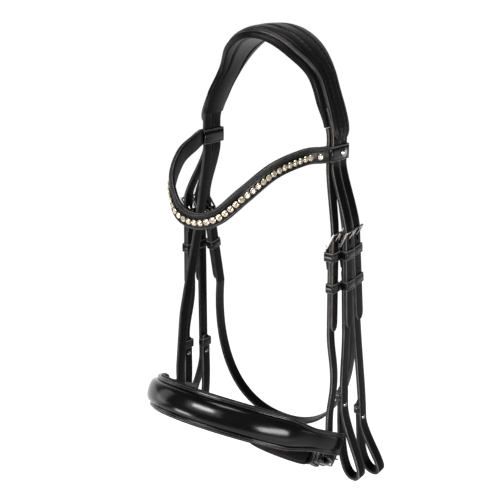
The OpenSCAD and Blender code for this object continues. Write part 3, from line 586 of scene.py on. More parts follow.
def stitch_group():
    """Sewn rows: dashes of one pitch along a piece, at one distance either side of its middle."""
    g, ready = new_group("sewn rows")
    if ready:
        return g
    socket(g, "Run", "NodeSocketVector")
    for name, value in (("Row", 5.0), ("Pitch", 2.8), ("Width", 0.34)):
        socket(g, name, "NodeSocketFloat", default=value)
    socket(g, "Mask", "NodeSocketFloat", "OUTPUT")
    socket(g, "Height", "NodeSocketFloat", "OUTPUT")
    i, o = g.nodes.new("NodeGroupInput"), g.nodes.new("NodeGroupOutput")
    split = g.nodes.new("ShaderNodeSeparateXYZ")
    g.links.new(i.outputs["Run"], split.inputs[0])
    off = math_node(g, "ABSOLUTE", split.outputs["X"])
    gap = math_node(g, "ABSOLUTE", math_node(g, "SUBTRACT", off, i.outputs["Row"]))
    near = math_node(g, "DIVIDE", gap, i.outputs["Width"])
    row = math_node(g, "SUBTRACT", 1.0, math_node(g, "MULTIPLY", near, near), clamp=True)
    step = math_node(g, "FRACT", math_node(g, "DIVIDE", split.outputs["Y"], i.outputs["Pitch"]))
    from_middle = math_node(g, "ABSOLUTE", math_node(g, "SUBTRACT", step, 0.5))
    dash = math_node(g, "MULTIPLY", math_node(g, "SUBTRACT", 0.4, from_middle), 9.0, clamp=True)
    mask = math_node(g, "MULTIPLY", row, dash)
    groove = math_node(g, "SUBTRACT", 1.0, math_node(g, "MULTIPLY", near, 0.45), clamp=True)
    g.links.new(mask, o.inputs["Mask"])
    g.links.new(math_node(g, "MULTIPLY_ADD", mask, 1.6, math_node(g, "MULTIPLY", groove, -0.9)), o.inputs["Height"])
    return g


def edge_wear_and_highlight_group():
    """Pale edge line, partly burnished wear and partly a painted highlight along the bevel: the edge mark broken up by
    noise, so that the pale line comes and goes.
    """
    g, ready = new_group("edge wear and painted highlight")
    if ready:
        return g
    socket(g, "Vector", "NodeSocketVector")
    socket(g, "Edge", "NodeSocketFloat")
    socket(g, "Mask", "NodeSocketFloat", "OUTPUT")
    i, o = g.nodes.new("NodeGroupInput"), g.nodes.new("NodeGroupOutput")
    noise = g.nodes.new("ShaderNodeTexNoise")
    noise.inputs["Scale"].default_value = 70
    noise.inputs["Detail"].default_value = 4
    g.links.new(i.outputs["Vector"], noise.inputs["Vector"])
    rough = math_node(g, "MULTIPLY_ADD", noise.outputs["Fac"], 1.3, 0.1)
    sharp = math_node(g, "POWER", i.outputs["Edge"], 1.4)
    g.links.new(math_node(g, "MULTIPLY", sharp, rough, clamp=True), o.inputs["Mask"])
    return g


def place_group(tree, group):
    """One use of a group in a material."""
    node = tree.nodes.new("ShaderNodeGroup")
    node.node_tree = group
    return node


def mix_colour(tree, fac, a, b):
    """Mix node between two colours, each a socket or four numbers."""
    node = tree.nodes.new("ShaderNodeMix")
    node.data_type = "RGBA"
    tree.links.new(fac, node.inputs["Factor"])
    for name, v in (("A", a), ("B", b)):
        s = [q for q in node.inputs if q.name == name and q.type == "RGBA"][0]
        if isinstance(v, bpy.types.NodeSocket):
            tree.links.new(v, s)
        else:
            s.default_value = v
    return [q for q in node.outputs if q.type == "RGBA"][0]


def leather(name, colour, gloss, pebble, depth, shine, row=None, pitch=2.8, edge=True, edge_gain=1.0):
    """Leather: grain bump and tone, pale edges that are partly burnished wear and partly a painted highlight, and sewn
    rows, over a Principled surface. gloss is the roughness, shine the specular level, depth the grain's height in
    metres and row the sewn row's distance from the middle."""
    mat = bpy.data.materials.get(name)
    if mat:
        return mat
    mat = bpy.data.materials.new(name)
    mat.use_nodes = True
    tree = mat.node_tree
    bsdf = tree.nodes["Principled BSDF"]
    where = tree.nodes.new("ShaderNodeTexCoord")
    grain = place_group(tree, grain_group())
    grain.inputs["Pebble"].default_value = pebble
    tree.links.new(where.outputs["Object"], grain.inputs["Vector"])
    dark = tuple(c * 0.55 for c in colour[:3]) + (1.0,)
    light = tuple(min(1.0, c * 1.7) for c in colour[:3]) + (1.0,)
    tone = math_node(tree, "MULTIPLY", grain.outputs["Tone"], 1.5)
    base = mix_colour(tree, math_node(tree, "SUBTRACT", tone, 0.25, clamp=True), dark, light)
    rough = math_node(tree, "MULTIPLY_ADD", grain.outputs["Tone"], 0.16, gloss - 0.08)
    height = math_node(tree, "MULTIPLY", grain.outputs["Height"], depth * 1000)
    if edge:
        mark = tree.nodes.new("ShaderNodeAttribute")
        mark.attribute_name = "edge"
        wear_and_highlight = place_group(tree, edge_wear_and_highlight_group())
        tree.links.new(where.outputs["Object"], wear_and_highlight.inputs["Vector"])
        tree.links.new(mark.outputs["Fac"], wear_and_highlight.inputs["Edge"])
        mask = math_node(tree, "MULTIPLY", wear_and_highlight.outputs["Mask"], edge_gain, clamp=True)
        # Painted highlight: the pale edge colour stands partly for burnished wear and partly for light caught on the
        # bevels.
        base = mix_colour(tree, mask, base, tuple(colours().edge))
        rough = math_node(tree, "MULTIPLY_ADD", mask, 0.12, rough)
    if row is not None:
        run = tree.nodes.new("ShaderNodeUVMap")
        run.uv_map = "run"
        sewn = place_group(tree, stitch_group())
        tree.links.new(run.outputs["UV"], sewn.inputs["Run"])
        for key, value in (("Row", row), ("Pitch", pitch)):
            sewn.inputs[key].default_value = value
        base = mix_colour(tree, sewn.outputs["Mask"], base, tuple(colours().thread))
        rough = math_node(tree, "MULTIPLY_ADD", sewn.outputs["Mask"], 0.25, rough)
        height = math_node(tree, "MULTIPLY_ADD", sewn.outputs["Height"], 0.22, height)
    bump = tree.nodes.new("ShaderNodeBump")
    bump.inputs["Strength"].default_value = 0.7
    bump.inputs["Distance"].default_value = 0.001
    tree.links.new(height, bump.inputs["Height"])
    tree.links.new(bump.outputs["Normal"], bsdf.inputs["Normal"])
    tree.links.new(base, bsdf.inputs["Base Color"])
    tree.links.new(rough, bsdf.inputs["Roughness"])
    bsdf.inputs["Specular IOR Level"].default_value = shine
    return mat


def metal():
    """Polished metal with faint handling marks: fine stretched noise in its roughness and tone."""
    mat = bpy.data.materials.get("polished metal")
    if mat:
        return mat
    mat = bpy.data.materials.new("polished metal")
    mat.use_nodes = True
    tree = mat.node_tree
    bsdf = tree.nodes["Principled BSDF"]
    where = tree.nodes.new("ShaderNodeTexCoord")
    marks = tree.nodes.new("ShaderNodeTexNoise")
    marks.inputs["Scale"].default_value = 420
    marks.inputs["Detail"].default_value = 5
    tree.links.new(where.outputs["Object"], marks.inputs["Vector"])
    c = tuple(colours().metal)
    dull = tuple(v * 0.75 for v in c[:3]) + (1,)
    tree.links.new(mix_colour(tree, marks.outputs["Fac"], dull, c), bsdf.inputs["Base Color"])
    tree.links.new(math_node(tree, "MULTIPLY_ADD", marks.outputs["Fac"], 0.16, 0.1), bsdf.inputs["Roughness"])
    bsdf.inputs["Metallic"].default_value = 1.0
    return mat


def stone_finish():
    """Foil-backed cut stone: warm pale colour that changes a little from stone to stone."""
    mat = bpy.data.materials.new("cut stone")
    mat.use_nodes = True
    tree = mat.node_tree
    bsdf = tree.nodes["Principled BSDF"]
    where = tree.nodes.new("ShaderNodeTexCoord")
    vary = tree.nodes.new("ShaderNodeTexNoise")
    vary.inputs["Scale"].default_value = 150
    vary.inputs["Detail"].default_value = 2
    tree.links.new(where.outputs["Object"], vary.inputs["Vector"])
    deep = tuple(v * 0.5 for v in colours().stone[:3]) + (1,)
    pale = (0.9, 0.79, 0.63, 1)
    tree.links.new(mix_colour(tree, vary.outputs["Fac"], deep, pale), bsdf.inputs["Base Color"])
    tree.links.new(math_node(tree, "MULTIPLY_ADD", vary.outputs["Fac"], 0.1, 0.05), bsdf.inputs["Roughness"])
    bsdf.inputs["Metallic"].default_value = 0.6
    bsdf.inputs["IOR"].default_value = 1.7
    bsdf.inputs["Coat Weight"].default_value = 0.4
    bsdf.inputs["Coat Roughness"].default_value = 0.03
    return mat


def strap_leather():
    """Satin strap leather with a sewn row near each edge."""
    return leather("strap leather", colours().leather, 0.38, pebble=1100, depth=0.00004, shine=0.08,
                   row=5.33, pitch=2.6)


def keeper_leather():
    """Polished leather of the keepers and loops."""
    return leather("keeper leather", colours().leather, 0.22, pebble=1100, depth=0.00003, shine=0.35, edge_gain=0.7)


def lining_leather():
    """Soft leather of the browband's inner side."""
    return leather("lining leather", colours().lining, 0.5, pebble=650, depth=0.00009, shine=0.06,
                   row=5.0, pitch=3.2, edge=False)


class BRIDLE_OT_stage(bpy.types.Operator):
    """Sets up the pale floor, soft light and camera"""
    bl_idname = "bridle.stage"
    bl_label = "Stage"

    def execute(self, context):
        scene = context.scene
        scene.view_settings.view_transform = "Standard"
        eye = np.array([0.6424, -0.8581, 0.0939])
        az, el = np.radians(38), np.radians(17)
        back = np.array([np.sin(az) * np.cos(el), -np.cos(az) * np.cos(el), np.sin(el)])
        right = np.array([np.cos(az), np.sin(az), 0.0])
        up = np.cross(back, right)
        data = bpy.data.cameras.new("camera")
        data.lens, data.sensor_width, data.sensor_fit = 72, 36, "HORIZONTAL"
        data.clip_start, data.clip_end = 0.05, 50
        camera = bpy.data.objects.new("camera", data)
        camera.matrix_world = Matrix([[right[k], up[k], back[k], eye[k]] for k in range(3)] + [[0, 0, 0, 1]])
        scene.collection.objects.link(camera)
        scene.camera = camera
        for name, place, aim, size, power in (
                ("front softbox", (-0.05, -1.53, 0.45), (0.03, -0.15, -0.36), (0.85, 0.3), 18),
                ("front fill", (-0.06, -1.78, 0.52), (0.03, -0.15, -0.36), (1.7, 0.9), 6),
                ("right softbox", (1.65, -0.45, -0.38), (0.09, -0.11, -0.39), (0.9, 0.36), 17),
                ("left softbox", (-1.6, -0.6, -0.1), (0, 0, -0.3), (0.6, 1.2), 3),
                ("low softbox", (-0.66, -1.2, -0.72), (0.1, -0.02, -0.25), (0.5, 0.35), 7),
                ("top softbox", (0.3, -0.2, 1.4), (0, 0, 0), (0.8, 0.8), 13)):
            lamp = bpy.data.lights.new(name, "AREA")
            lamp.shape, lamp.size, lamp.size_y, lamp.energy = "RECTANGLE", size[0], size[1], power
            obj = bpy.data.objects.new(name, lamp)
            obj.location = place
            b = unit(np.array(place, float) - np.array(aim, float))
            r = unit(np.cross([0, 0, 1], b)) if abs(b[2]) < 0.98 else np.array([1.0, 0, 0])
            u = np.cross(b, r)
            way = Matrix([[r[k], u[k], b[k]] for k in range(3)])
            obj.rotation_euler = way.to_euler()
            scene.collection.objects.link(obj)
        world = bpy.data.worlds.new("studio")
        world.use_nodes = True
        scene.world = world
        tree = world.node_tree
        ground = tree.nodes["Background"]
        ground.inputs["Color"].default_value = (1, 1, 1, 1)
        where = tree.nodes.new("ShaderNodeTexCoord")
        white = shown_white(tree, away_share(tree, where.outputs["Generated"], 0.6, 0.95))
        tree.links.new(math_node(tree, "MULTIPLY_ADD", white, 0.94, 0.06), ground.inputs["Strength"])
        self.floor()
        return {"FINISHED"}

    def floor(self):
        """Flat square well below the piece, a pale matt surface that shows white behind the piece."""
        low, far = -0.95, 45
        mesh = bpy.data.meshes.new("floor")
        mesh.from_pydata([(-far, -far, low), (far, -far, low), (far, far, low), (-far, far, low)], [], [(0, 1, 2, 3)])
        obj = bpy.data.objects.new("floor", mesh)
        bpy.context.scene.collection.objects.link(obj)
        mat = bpy.data.materials.new("pale floor")
        mat.use_nodes = True
        tree = mat.node_tree
        bsdf = tree.nodes["Principled BSDF"]
        bsdf.inputs["Base Color"].default_value = (0.86, 0.86, 0.86, 1)
        bsdf.inputs["Roughness"].default_value = 0.9
        bsdf.inputs["Emission Color"].default_value = (1, 1, 1, 1)
        where = tree.nodes.new("ShaderNodeTexCoord")
        far_off = tree.nodes.new("ShaderNodeVectorMath")
        far_off.operation = "LENGTH"
        tree.links.new(where.outputs["Object"], far_off.inputs[0])
        level = tree.nodes.new("ShaderNodeMapRange")
        level.interpolation_type = "SMOOTHSTEP"
        for key, value in (("From Min", 1.0), ("From Max", 6.0), ("To Min", 0.88), ("To Max", 1.0)):
            level.inputs[key].default_value = value
        tree.links.new(far_off.outputs["Value"], level.inputs["Value"])
        white = shown_white(tree, away_share(tree, where.outputs["Object"], 0.42, 0.62))
        tree.links.new(math_node(tree, "MULTIPLY", white, level.outputs["Result"]), bsdf.inputs["Emission Strength"])
        mesh.materials.append(mat)


class BRIDLE_OT_crown(bpy.types.Operator):
    """Makes the padded crown: cover with sewn channels, leather core and lining with its front roll"""
    bl_idname = "bridle.crown"
    bl_label = "Crown"

    def execute(self, context):
        self.cover()
        self.core()
        self.lining()
        return {"FINISHED"}

    def cover(self):
        """Height over the arch: a flattened half oval across the width, less two Gaussian channels and puckers."""
        pad, deep = sizes().crown_padding * 1000, sizes().channel_depth * 1000
        phi = np.sin(np.linspace(-1, 1, 521) * np.pi / 2 * 0.82) / np.sin(np.pi / 2 * 0.82) * 77
        k = np.clip(np.abs(phi) - 68, 0, 9) / 9
        end = np.sqrt(1.02 - k ** 3.2)
        half = crown_reach(phi) * end
        mid = crown_middle(phi)
        along = run_length(crown_point(phi, 0, 0))
        along = along - along[-1] / 2
        u = np.sin(np.linspace(-1, 1, 91) * np.pi / 2)
        roll = np.power(np.clip(1 - u * u, 0, 1), 0.42)
        dip = np.exp(-(((np.abs(u) - 0.36) / 0.075) ** 2))
        seam = np.exp(-(((np.abs(u) - 0.86) / 0.05) ** 2))
        pucker = 0.7 * np.cos(along * 2 * np.pi / 5.2)[:, None] * np.exp(-(((np.abs(u) - 0.36) / 0.16) ** 2))
        height = 1.2 + pad * roll - deep * dip - 0.6 * seam + sizes().pucker * 1000 * pucker
        height = height * (0.35 + 0.65 * end)[:, None]
        top = crown_point(phi[:, None], mid[:, None] + half[:, None] * u, layer_out() + height)
        v = np.array([0.97, 0, -0.97])
        under = crown_point(phi[:, None], mid[:, None] + half[:, None] * v, layer_out())
        grid = np.concatenate([top, under], 1)
        run = np.concatenate([half[:, None] * u, half[:, None] * v], 1)
        uv = np.stack([run, np.broadcast_to(along[:, None], run.shape)], -1)
        # Edge mark: a pale line along the cover's edges, partly wear and partly a painted highlight.
        edge = np.broadcast_to(np.r_[np.clip((np.abs(u) - 0.975) * 30, 0, 1), 1, 0, 1], run.shape)
        mat = leather("crown leather", colours().leather, 0.4, pebble=800, depth=0.00003, shine=0.24, edge_gain=0.5)
        obj = skin("crown_cover_padded", grid, uv, edge, mat)
        settle(obj, ROOT, "strap_leather", "crown_cover")

    def core(self):
        """Flat strap section between the cover and the lining, a little narrower than both."""
        phi = np.linspace(-61.8, 61.8, 121)
        half, mid, b = crown_reach(phi) - 1.5, crown_middle(phi), thick_mm() / 2
        u = np.array([-1, -0.98, 0.98, 1, 1, 0.98, -0.98, -1])
        h = np.array([b - 0.5, b, b, b - 0.5, 0.5 - b, -b, -b, 0.5 - b])
        grid = crown_point(phi[:, None], mid[:, None] + half[:, None] * u, h)
        uv = np.stack([half[:, None] * u, np.broadcast_to(phi[:, None], grid.shape[:2])], -1)
        # Edge mark: pale strap edges, partly wear and partly a painted highlight.
        edge = np.broadcast_to(np.array([1, 0.5, 0.5, 1, 1, 0.5, 0.5, 1.0]), grid.shape[:2])
        settle(skin("crown_core_strap", grid, uv, edge, strap_leather()), ROOT, "strap_leather", "crown_core")

    def lining(self):
        """Soft underside: an oval belly with two sewn lines, and a round roll that stands up in front of the cover."""
        phi = np.linspace(-70.3, 70.3, 201)
        fade = 1 - ease((np.abs(phi) - 58) / 12)
        mid, reach = crown_middle(phi), crown_reach(phi)
        back = mid + reach - 1 - 1.5 * ease((-phi - 61) / 9)
        front = mid - reach - LINING_ROLL * (0.5 + 0.5 * fade)
        u = np.linspace(-1, 1, 61)
        y = ((front + back) / 2)[:, None] + ((back - front) / 2)[:, None] * np.sin(u * np.pi / 2)
        lead = (mid - reach)[:, None] - 0.4
        span = np.maximum(lead - front[:, None], 2.0)
        t = np.clip((lead - y) / span, 0, 1)
        roll = np.sqrt(np.clip(1 - (2 * t - 1) ** 2, 0, 1)) * (t > 0)
        base = -layer_out()
        rim = np.abs(np.sin(u * np.pi / 2))
        top = base - 1.4 * np.clip((rim - 0.985) / 0.015, 0, 1) + (2.6 * fade[:, None] + 0.6) * roll
        belly = np.sqrt(np.clip(1 - 0.98 * np.sin(u * np.pi / 2) ** 2, 0, 1))
        place = 0.5 + 0.13 * np.cos(np.radians(phi) * 5.2)[:, None]
        sewn = np.exp(-(((np.abs(u) - place) / 0.05) ** 2)) + np.exp(-(((u + 0.86) / 0.04) ** 2))
        lobes = 0.5 * np.cos(np.radians(phi) * 5.2)[:, None] * np.exp(-((u / 0.4) ** 2))
        low = base - LINING_T * (0.5 + 0.5 * belly) + 1.5 * fade[:, None] * sewn - lobes * fade[:, None]
        grid = np.concatenate([
            crown_point(phi[:, None], y, top), crown_point(phi[:, None], y[:, ::-1], low[:, ::-1])], 1)
        along = phi * 2.0
        run = np.concatenate([y - mid[:, None], y[:, ::-1] - mid[:, None]], 1)
        uv = np.stack([run, np.broadcast_to(along[:, None], run.shape)], -1)
        edge = np.zeros(run.shape)
        mat = leather("crown lining leather", colours().leather, 0.36, pebble=700, depth=0.00006, shine=0.12,
                      edge=False)
        obj = skin("crown_lining_padded", grid, uv, edge, mat)
        settle(obj, ROOT, "lining_leather", "crown_lining")


class BRIDLE_OT_points(bpy.types.Operator):
    """Makes the strap points that run from the crown through the browband loops and buckles"""
    bl_idname = "bridle.points"
    bl_label = "Strap Points"

    def execute(self, context):
        x = float(crown_x(LOOP_ANGLE))
        inner = thick_mm() + GAP
        for name, s in hung_straps().items():
            side = s.side
            kind = name.split("_")[1]
            y = {"front": front_y, "rear": rear_y, "noseband": nose_strap_y, "throat": throat_strap_y}[kind](side)
            if kind in ("front", "rear"):
                start = [crown_point(a, y, 0) for a in (62, 64.5, 67, 69, 71)]
                out = x
            else:
                start = [crown_point(70.5, y, -inner)]
                out = x - inner
            far = hung_point(s, [upper_x(), 0, -POINT_LEN])
            cuts = [(EASE_CUT, EASE_CUT)] * len(start) + [(EASE_CUT, 26), (30, 9)]
            path = eased(start + [
                [out, y, loop_z() + LOOP_RUN + EASE_CUT], [out, y, loop_z() - LOOP_RUN - EASE_CUT],
                hung_point(s, [upper_x(), 0, 22]), far], cuts)
            turns = np.array([[0, 1, 0], hung_across(s), hung_across(s)], float)
            grid, uv, edge = strap(path, lambda q, k=turns: smooth_at(k, 2 * q), s.width, thick_mm(), tip=True)
            obj = skin(name + "_point_strap", to_side(grid, side), uv, edge, strap_leather())
            self.punch(obj, s, side, path if kind in ("front", "rear") else None)
            settle(obj, ROOT, "strap_leather", name + "_point")
        return {"FINISHED"}

    def punch(self, obj, s, side, path):
        """Slot for the tongue, round holes below it and, on the cheek straps, two more on the leg above."""
        cut_placed(obj, tongue_slot(), lambda q: hung_point(s, q), side)
        out = np.array([side, 0, 0.0])
        places = [(to_side(hung_point(s, [upper_x(), 0, FIRST_HOLE - k * HOLE_PITCH]), side), out) for k in (1, 2)]
        if path is not None:
            fine = evenly(path, 0.5)[0]
            at = np.argmin(np.linalg.norm(fine - hung_point(s, [upper_x(), 0, 0]), axis=1))
            for k in (1, 2):
                i = at - int(k * HOLE_PITCH / 0.5)
                normal = unit(np.cross(hung_across(s), fine[i - 3] - fine[i + 3]))
                places.append((to_side(fine[i], side), to_side(normal, side)))
        cut(obj, *tube_cutter(places, HOLE_R, 8))


def fold_path(end, run=24.0):
    """Middle line of a pared fold: up the inside, round the buckle bar and into the strap below it."""
    r, flat = BAR_R + 0.8, 14.0
    a = np.radians(np.linspace(180, 0, 17))
    inner = np.array([[-SEAT - thick_mm() - 0.55, -run], [BAR_X - r, -flat], [BAR_X - r, -4]])
    turn = np.stack([BAR_X + r * np.cos(a), r * np.sin(a)], 1)
    return np.concatenate([inner, turn, [[lower_x(), -9]], end])


def fold_thickness(s):
    """Pared to 0.9 at the very end and 1.6 round the bar, then eased to the full strap below it."""
    return 0.9 + 0.7 * ease(s / 10) + (thick_mm() - 1.6) * ease((s - 34) / 10)


def side_path(line):
    """Side view's two coordinates set in the strap's own upright plane."""
    line = np.asarray(line, float)
    return np.stack([line[:, 0], np.zeros(len(line)), line[:, 1]], 1)


def hub_room():
    """Box that clears the tongue's hub out of a fold, in the strap's own frame."""
    half, below = 2.1, 2.7
    lo = np.array([BAR_X - EYE_R - 1, -half, -below])
    hi = np.array([BAR_X + EYE_R + 1, half, EYE_R + 1])
    c = np.array([[x, y, z] for z in (lo[2], hi[2]) for y in (lo[1], hi[1]) for x in (lo[0], hi[0])])
    faces = [[0, 2, 3, 1], [4, 5, 7, 6], [0, 1, 5, 4], [2, 6, 7, 3], [0, 4, 6, 2], [1, 3, 7, 5]]
    return c, faces


class BRIDLE_OT_cheekpieces(bpy.types.Operator):
    """Makes the four cheekpieces, each folded round its buckle bar and turned up at the bit as a billet"""
    bl_idname = "bridle.cheekpieces"
    bl_label = "Cheekpieces"

    def execute(self, context):
        for name, s in hung_straps().items():
            if s.bow is None:
                continue
            x = lower_x() - s.bow
            inside = x - thick_mm() - GAP
            top = s.loop - s.length
            low, reach, lap = thick_mm() / 2 - s.length, s.loop * 0.4, 26
            line = fold_path(np.concatenate([
                cubic([[lower_x(), -POINT_LEN - 2], [lower_x(), -POINT_LEN - 27], [x, top + lap + 20], [x, top + lap]]),
                cubic([[x, top], [x + 3, top - reach], [x + 36, low], [x + 15, low]]),
                cubic([[x + 14, low], [x - 4, low], [inside - 1, top - reach], [inside, top]]),
                [[inside, top + lap]]]))
            path = hung_point(s, side_path(line))
            grid, uv, edge = strap(path, hung_across(s), s.width, fold_thickness, tip=True)
            obj = skin(name + "_cheekpiece_strap", to_side(grid, s.side), uv, edge, strap_leather())
            cut_placed(obj, hub_room(), lambda q, k=s: hung_point(k, q), s.side)
            hole = to_side(hung_point(s, [x - 2, 0, top + 5]), s.side)
            cut(obj, *tube_cutter([(hole, [1, 0, 0])], HOOK_HOLE_R, 16))
            settle(obj, ROOT, "strap_leather", name + "_cheekpiece")
        return {"FINISHED"}


class BRIDLE_OT_hangers(bpy.types.Operator):
    """Makes the two straps that carry the noseband"""
    bl_idname = "bridle.hangers"
    bl_label = "Noseband Hangers"

    def execute(self, context):
        s = hung_straps()["near_noseband"]
        low = NOSE_DROP - BAR_DROP - 2
        top, end, bow = -POINT_LEN - 2, 24 - low, 5
        mid = (top + end) / 2
        x = lower_x()
        line = fold_path(np.concatenate([
            cubic([[x, top], [x, top - 20], [x + bow, mid + 20], [x + bow, mid]]),
            cubic([[x + bow, mid - 1], [x + bow, mid - 20], [x, end + 20], [x, end]]), [[x, -low]]]))
        path = hung_point(s, side_path(line))
        grid, uv, edge = strap(path, hung_across(s), s.width, fold_thickness)
        obj = skin("near_noseband_hanger_strap", grid, uv, edge, strap_leather())
        cut_placed(obj, hub_room(), lambda q: hung_point(s, q))
        settle(obj, ROOT, "strap_leather", "near_noseband_hanger")

        y = nose_strap_y(-1)
        out = float(crown_x(LOOP_ANGLE))
        inner = thick_mm() + GAP
        hx = NOSE_HALF - 3 + lower_x()
        path = eased([
            crown_point(70.5, y, -inner), [out - inner, y, loop_z() + LOOP_RUN + EASE_CUT],
            [out - inner, y, loop_z() - LOOP_RUN - EASE_CUT], [out + 2, y - 11, -215], [hx - 3, y - 26, -320],
            [hx, y - 32, -390], [hx, y - 31, -BAR_DROP - low]], EASE_CUT)
        turns = np.array([[0, 1, 0], [0, 1, 0], [-0.15, 1, 0], [0.1, 1, 0]], float)
        grid, uv, edge = strap(path, lambda q: smooth_at(turns, 3 * q), width_mm(), thick_mm())
        obj = skin("off_noseband_hanger_strap", to_side(grid, -1), uv, edge, strap_leather())
        settle(obj, ROOT, "strap_leather", "off_noseband_hanger")
        return {"FINISHED"}


class BRIDLE_OT_throatlatch(bpy.types.Operator):
    """Makes the throatlatch, folded round a buckle bar at each end"""
    bl_idname = "bridle.throatlatch"
    bl_label = "Throatlatch"

    def execute(self, context):
        s = hung_straps()["near_throat"]
        half = s.out
        x = half + lower_x()
        straight, low, bulge, low_x = -POINT_LEN - 3, thick_mm() / 2 - 273, 20, -21
        fold = fold_path(np.zeros((0, 2)))
        off = fold * [-1, 1] - [half, 0]
        near = fold[::-1] + [half, 0]
        line = np.concatenate([
            off, cubic([[-x, straight], [-x - bulge, straight - 80], [6 - x - bulge, low], [low_x, low]], 40),
            cubic([[low_x + 1, low], [40, low], [x, straight - 120], [x, straight]], 40), near])
        path = hung_point(s._replace(out=0), side_path(line))
        grid, uv, edge = strap(path, -hung_across(s), s.width,
                               lambda q: np.minimum(fold_thickness(q), fold_thickness(q[-1] - q)))
        obj = skin("throatlatch_strap", grid, uv, edge, strap_leather())
        for side in (1, -1):
            cut_placed(obj, hub_room(), lambda q: hung_point(s, q), side)
        settle(obj, ROOT, "strap_leather", "throatlatch")
        return {"FINISHED"}


def nose_point(a, n, z):
    """Point of the noseband at angle a round its oval, n out along the oval's normal and z up, set in its place."""
    a, n, z = np.broadcast_arrays(*(np.asarray(q, float) for q in (a, n, z)))
    past = np.clip(np.abs(a) - 90, 0, None)
    r = np.radians(np.clip(a, -90, 90))
    out = unit(np.stack([np.sin(r) / NOSE_HALF, -np.cos(r) / NOSE_DEPTH], -1))
    x = NOSE_HALF * np.sin(r) + n * out[..., 0]
    y = -NOSE_DEPTH * np.cos(r) + n * out[..., 1] + past
    return nose_frame(np.stack([x, y, z], -1))


def nose_frame(p):
    """Noseband's own frame tipped forward and up, and moved to its place."""
    c, s = np.cos(np.radians(NOSE_TILT)), np.sin(np.radians(NOSE_TILT))
    return np.stack([p[..., 0], -25 + p[..., 1] * c + p[..., 2] * s, -NOSE_DROP - p[..., 1] * s + p[..., 2] * c], -1)


class BRIDLE_OT_noseband(bpy.types.Operator):
    """Makes the padded noseband and its lining"""
    bl_idname = "bridle.noseband"
    bl_label = "Noseband"

    def execute(self, context):
        self.front()
        self.lining()
        return {"FINISHED"}

    def stations(self, limit, count):
        """Angles round the oval, with the padding's fade, half the height and the distance along at each."""
        a = np.linspace(-limit, limit, count)
        fade = 1 - ease((np.abs(a) - 56) / 20)
        high = (NOSE_END_H + (NOSE_H - NOSE_END_H) * fade) / 2
        return a, fade, high, run_length(nose_point(a, 0, 0))

    def front(self):
        """Flat sewn lips above and below a round roll: the roll's height is a power of the sine between the lips,
        pulled in where it is sewn by small cosine puckers."""
        a, fade, high, along = self.stations(90 + NOSE_TAIL, 620)
        pad = 0.6 + (sizes().nose_padding * 1000 - 0.6) * fade
        sunk, sewn_row = 0.75, 2.6
        lip_n = np.array([0, 0.5, LIP_T - 0.9, LIP_T - 0.25, LIP_T, LIP_T - 0.05, LIP_T - 0.25, LIP_T - sunk])
        lip_n = np.broadcast_to(lip_n, (len(a), len(lip_n)))
        lip_z = high[:, None] - np.array([0.7, 0.1, 0, 0.3, 1.0, sewn_row, LIP_H - 0.9, LIP_H - 0.25])
        k = np.radians(np.linspace(5, 175, 35))
        wrinkle = np.cos(along * 2 * np.pi / 3.4) * sizes().pucker * 1000 * fade
        pull = 0.7 * np.exp(-((np.minimum(k, np.pi - k) / 0.26) ** 2))
        roll_n = LIP_T - sunk + (pad[:, None] + sunk) * np.sin(k) ** 0.62 + wrinkle[:, None] * pull
        roll_z = (high - LIP_H)[:, None] * np.cos(k)
        n = np.concatenate([lip_n, roll_n, lip_n[:, ::-1]], 1)
        z = np.concatenate([lip_z, roll_z, -lip_z[:, ::-1]], 1)
        # Edge mark of the lips: a pale line on the lip edges, partly wear and partly a painted highlight.
        edge = np.array([0.6, 1, 1, 0.7, 0.15, 0, 0, 0])
        edge = np.r_[edge, np.zeros(len(k)), edge[::-1]]
        grid = nose_point(a[:, None], n, z)
        lip = np.abs(z) - (high[:, None] - sewn_row)
        uv = np.stack([np.where(n > 1.0, lip, 40.0), np.broadcast_to(along[:, None], n.shape)], -1)
        mat = leather("padded leather", colours().leather, 0.17, pebble=1000, depth=0.00002, shine=0.36,
                      row=0.0, pitch=2.6, edge_gain=0.5)
        obj = skin("noseband_front_padded", grid, uv, np.broadcast_to(edge, n.shape), mat)
        settle(obj, ROOT, "strap_leather", "noseband_front")

    def lining(self):
        """Soft cushion inside the front: a flattened oval section that stands a little above and below it."""
        a, fade, high, along = self.stations(62, 261)
        high = high + 1.5
        t = 6.0 * (0.4 + 0.6 * fade)
        k = np.radians(np.linspace(0, 180, 41))
        n = -GAP - t[:, None] * np.sin(k) ** 0.55
        z = high[:, None] * np.sign(np.cos(k)) * np.abs(np.cos(k)) ** 0.75
        sewn = np.exp(-(((np.abs(z) - high[:, None] + 5.0) / 0.9) ** 2))
        n = n + 0.8 * sewn * (n < -1.2)
        n = np.concatenate([n, np.full((len(a), 2), -GAP)], 1)
        z = np.concatenate([z, -0.6 * high[:, None], 0.6 * high[:, None]], 1)
        grid = nose_point(a[:, None], n, z)
        uv = np.stack([np.abs(z) - high[:, None] + 5.0, np.broadcast_to(along[:, None], n.shape)], -1)
        mat = leather("noseband lining leather", colours().lining, 0.42, pebble=700, depth=0.00007, shine=0.08,
                      row=0.0, pitch=3.0, edge=False)
        obj = skin("noseband_lining_padded", grid, uv, np.zeros(n.shape), mat)
        settle(obj, ROOT, "lining_leather", "noseband_lining")


def chin_frame(p):
    """Chin strap's own plane tipped down toward the back and moved to the noseband's ends."""
    c, s = np.cos(np.radians(CHIN_TILT)), np.sin(np.radians(CHIN_TILT))
    back, down = -20, -NOSE_DROP - 16
    return np.stack([p[..., 0], back + p[..., 1] * c + p[..., 2] * s, down - p[..., 1] * s + p[..., 2] * c], -1)


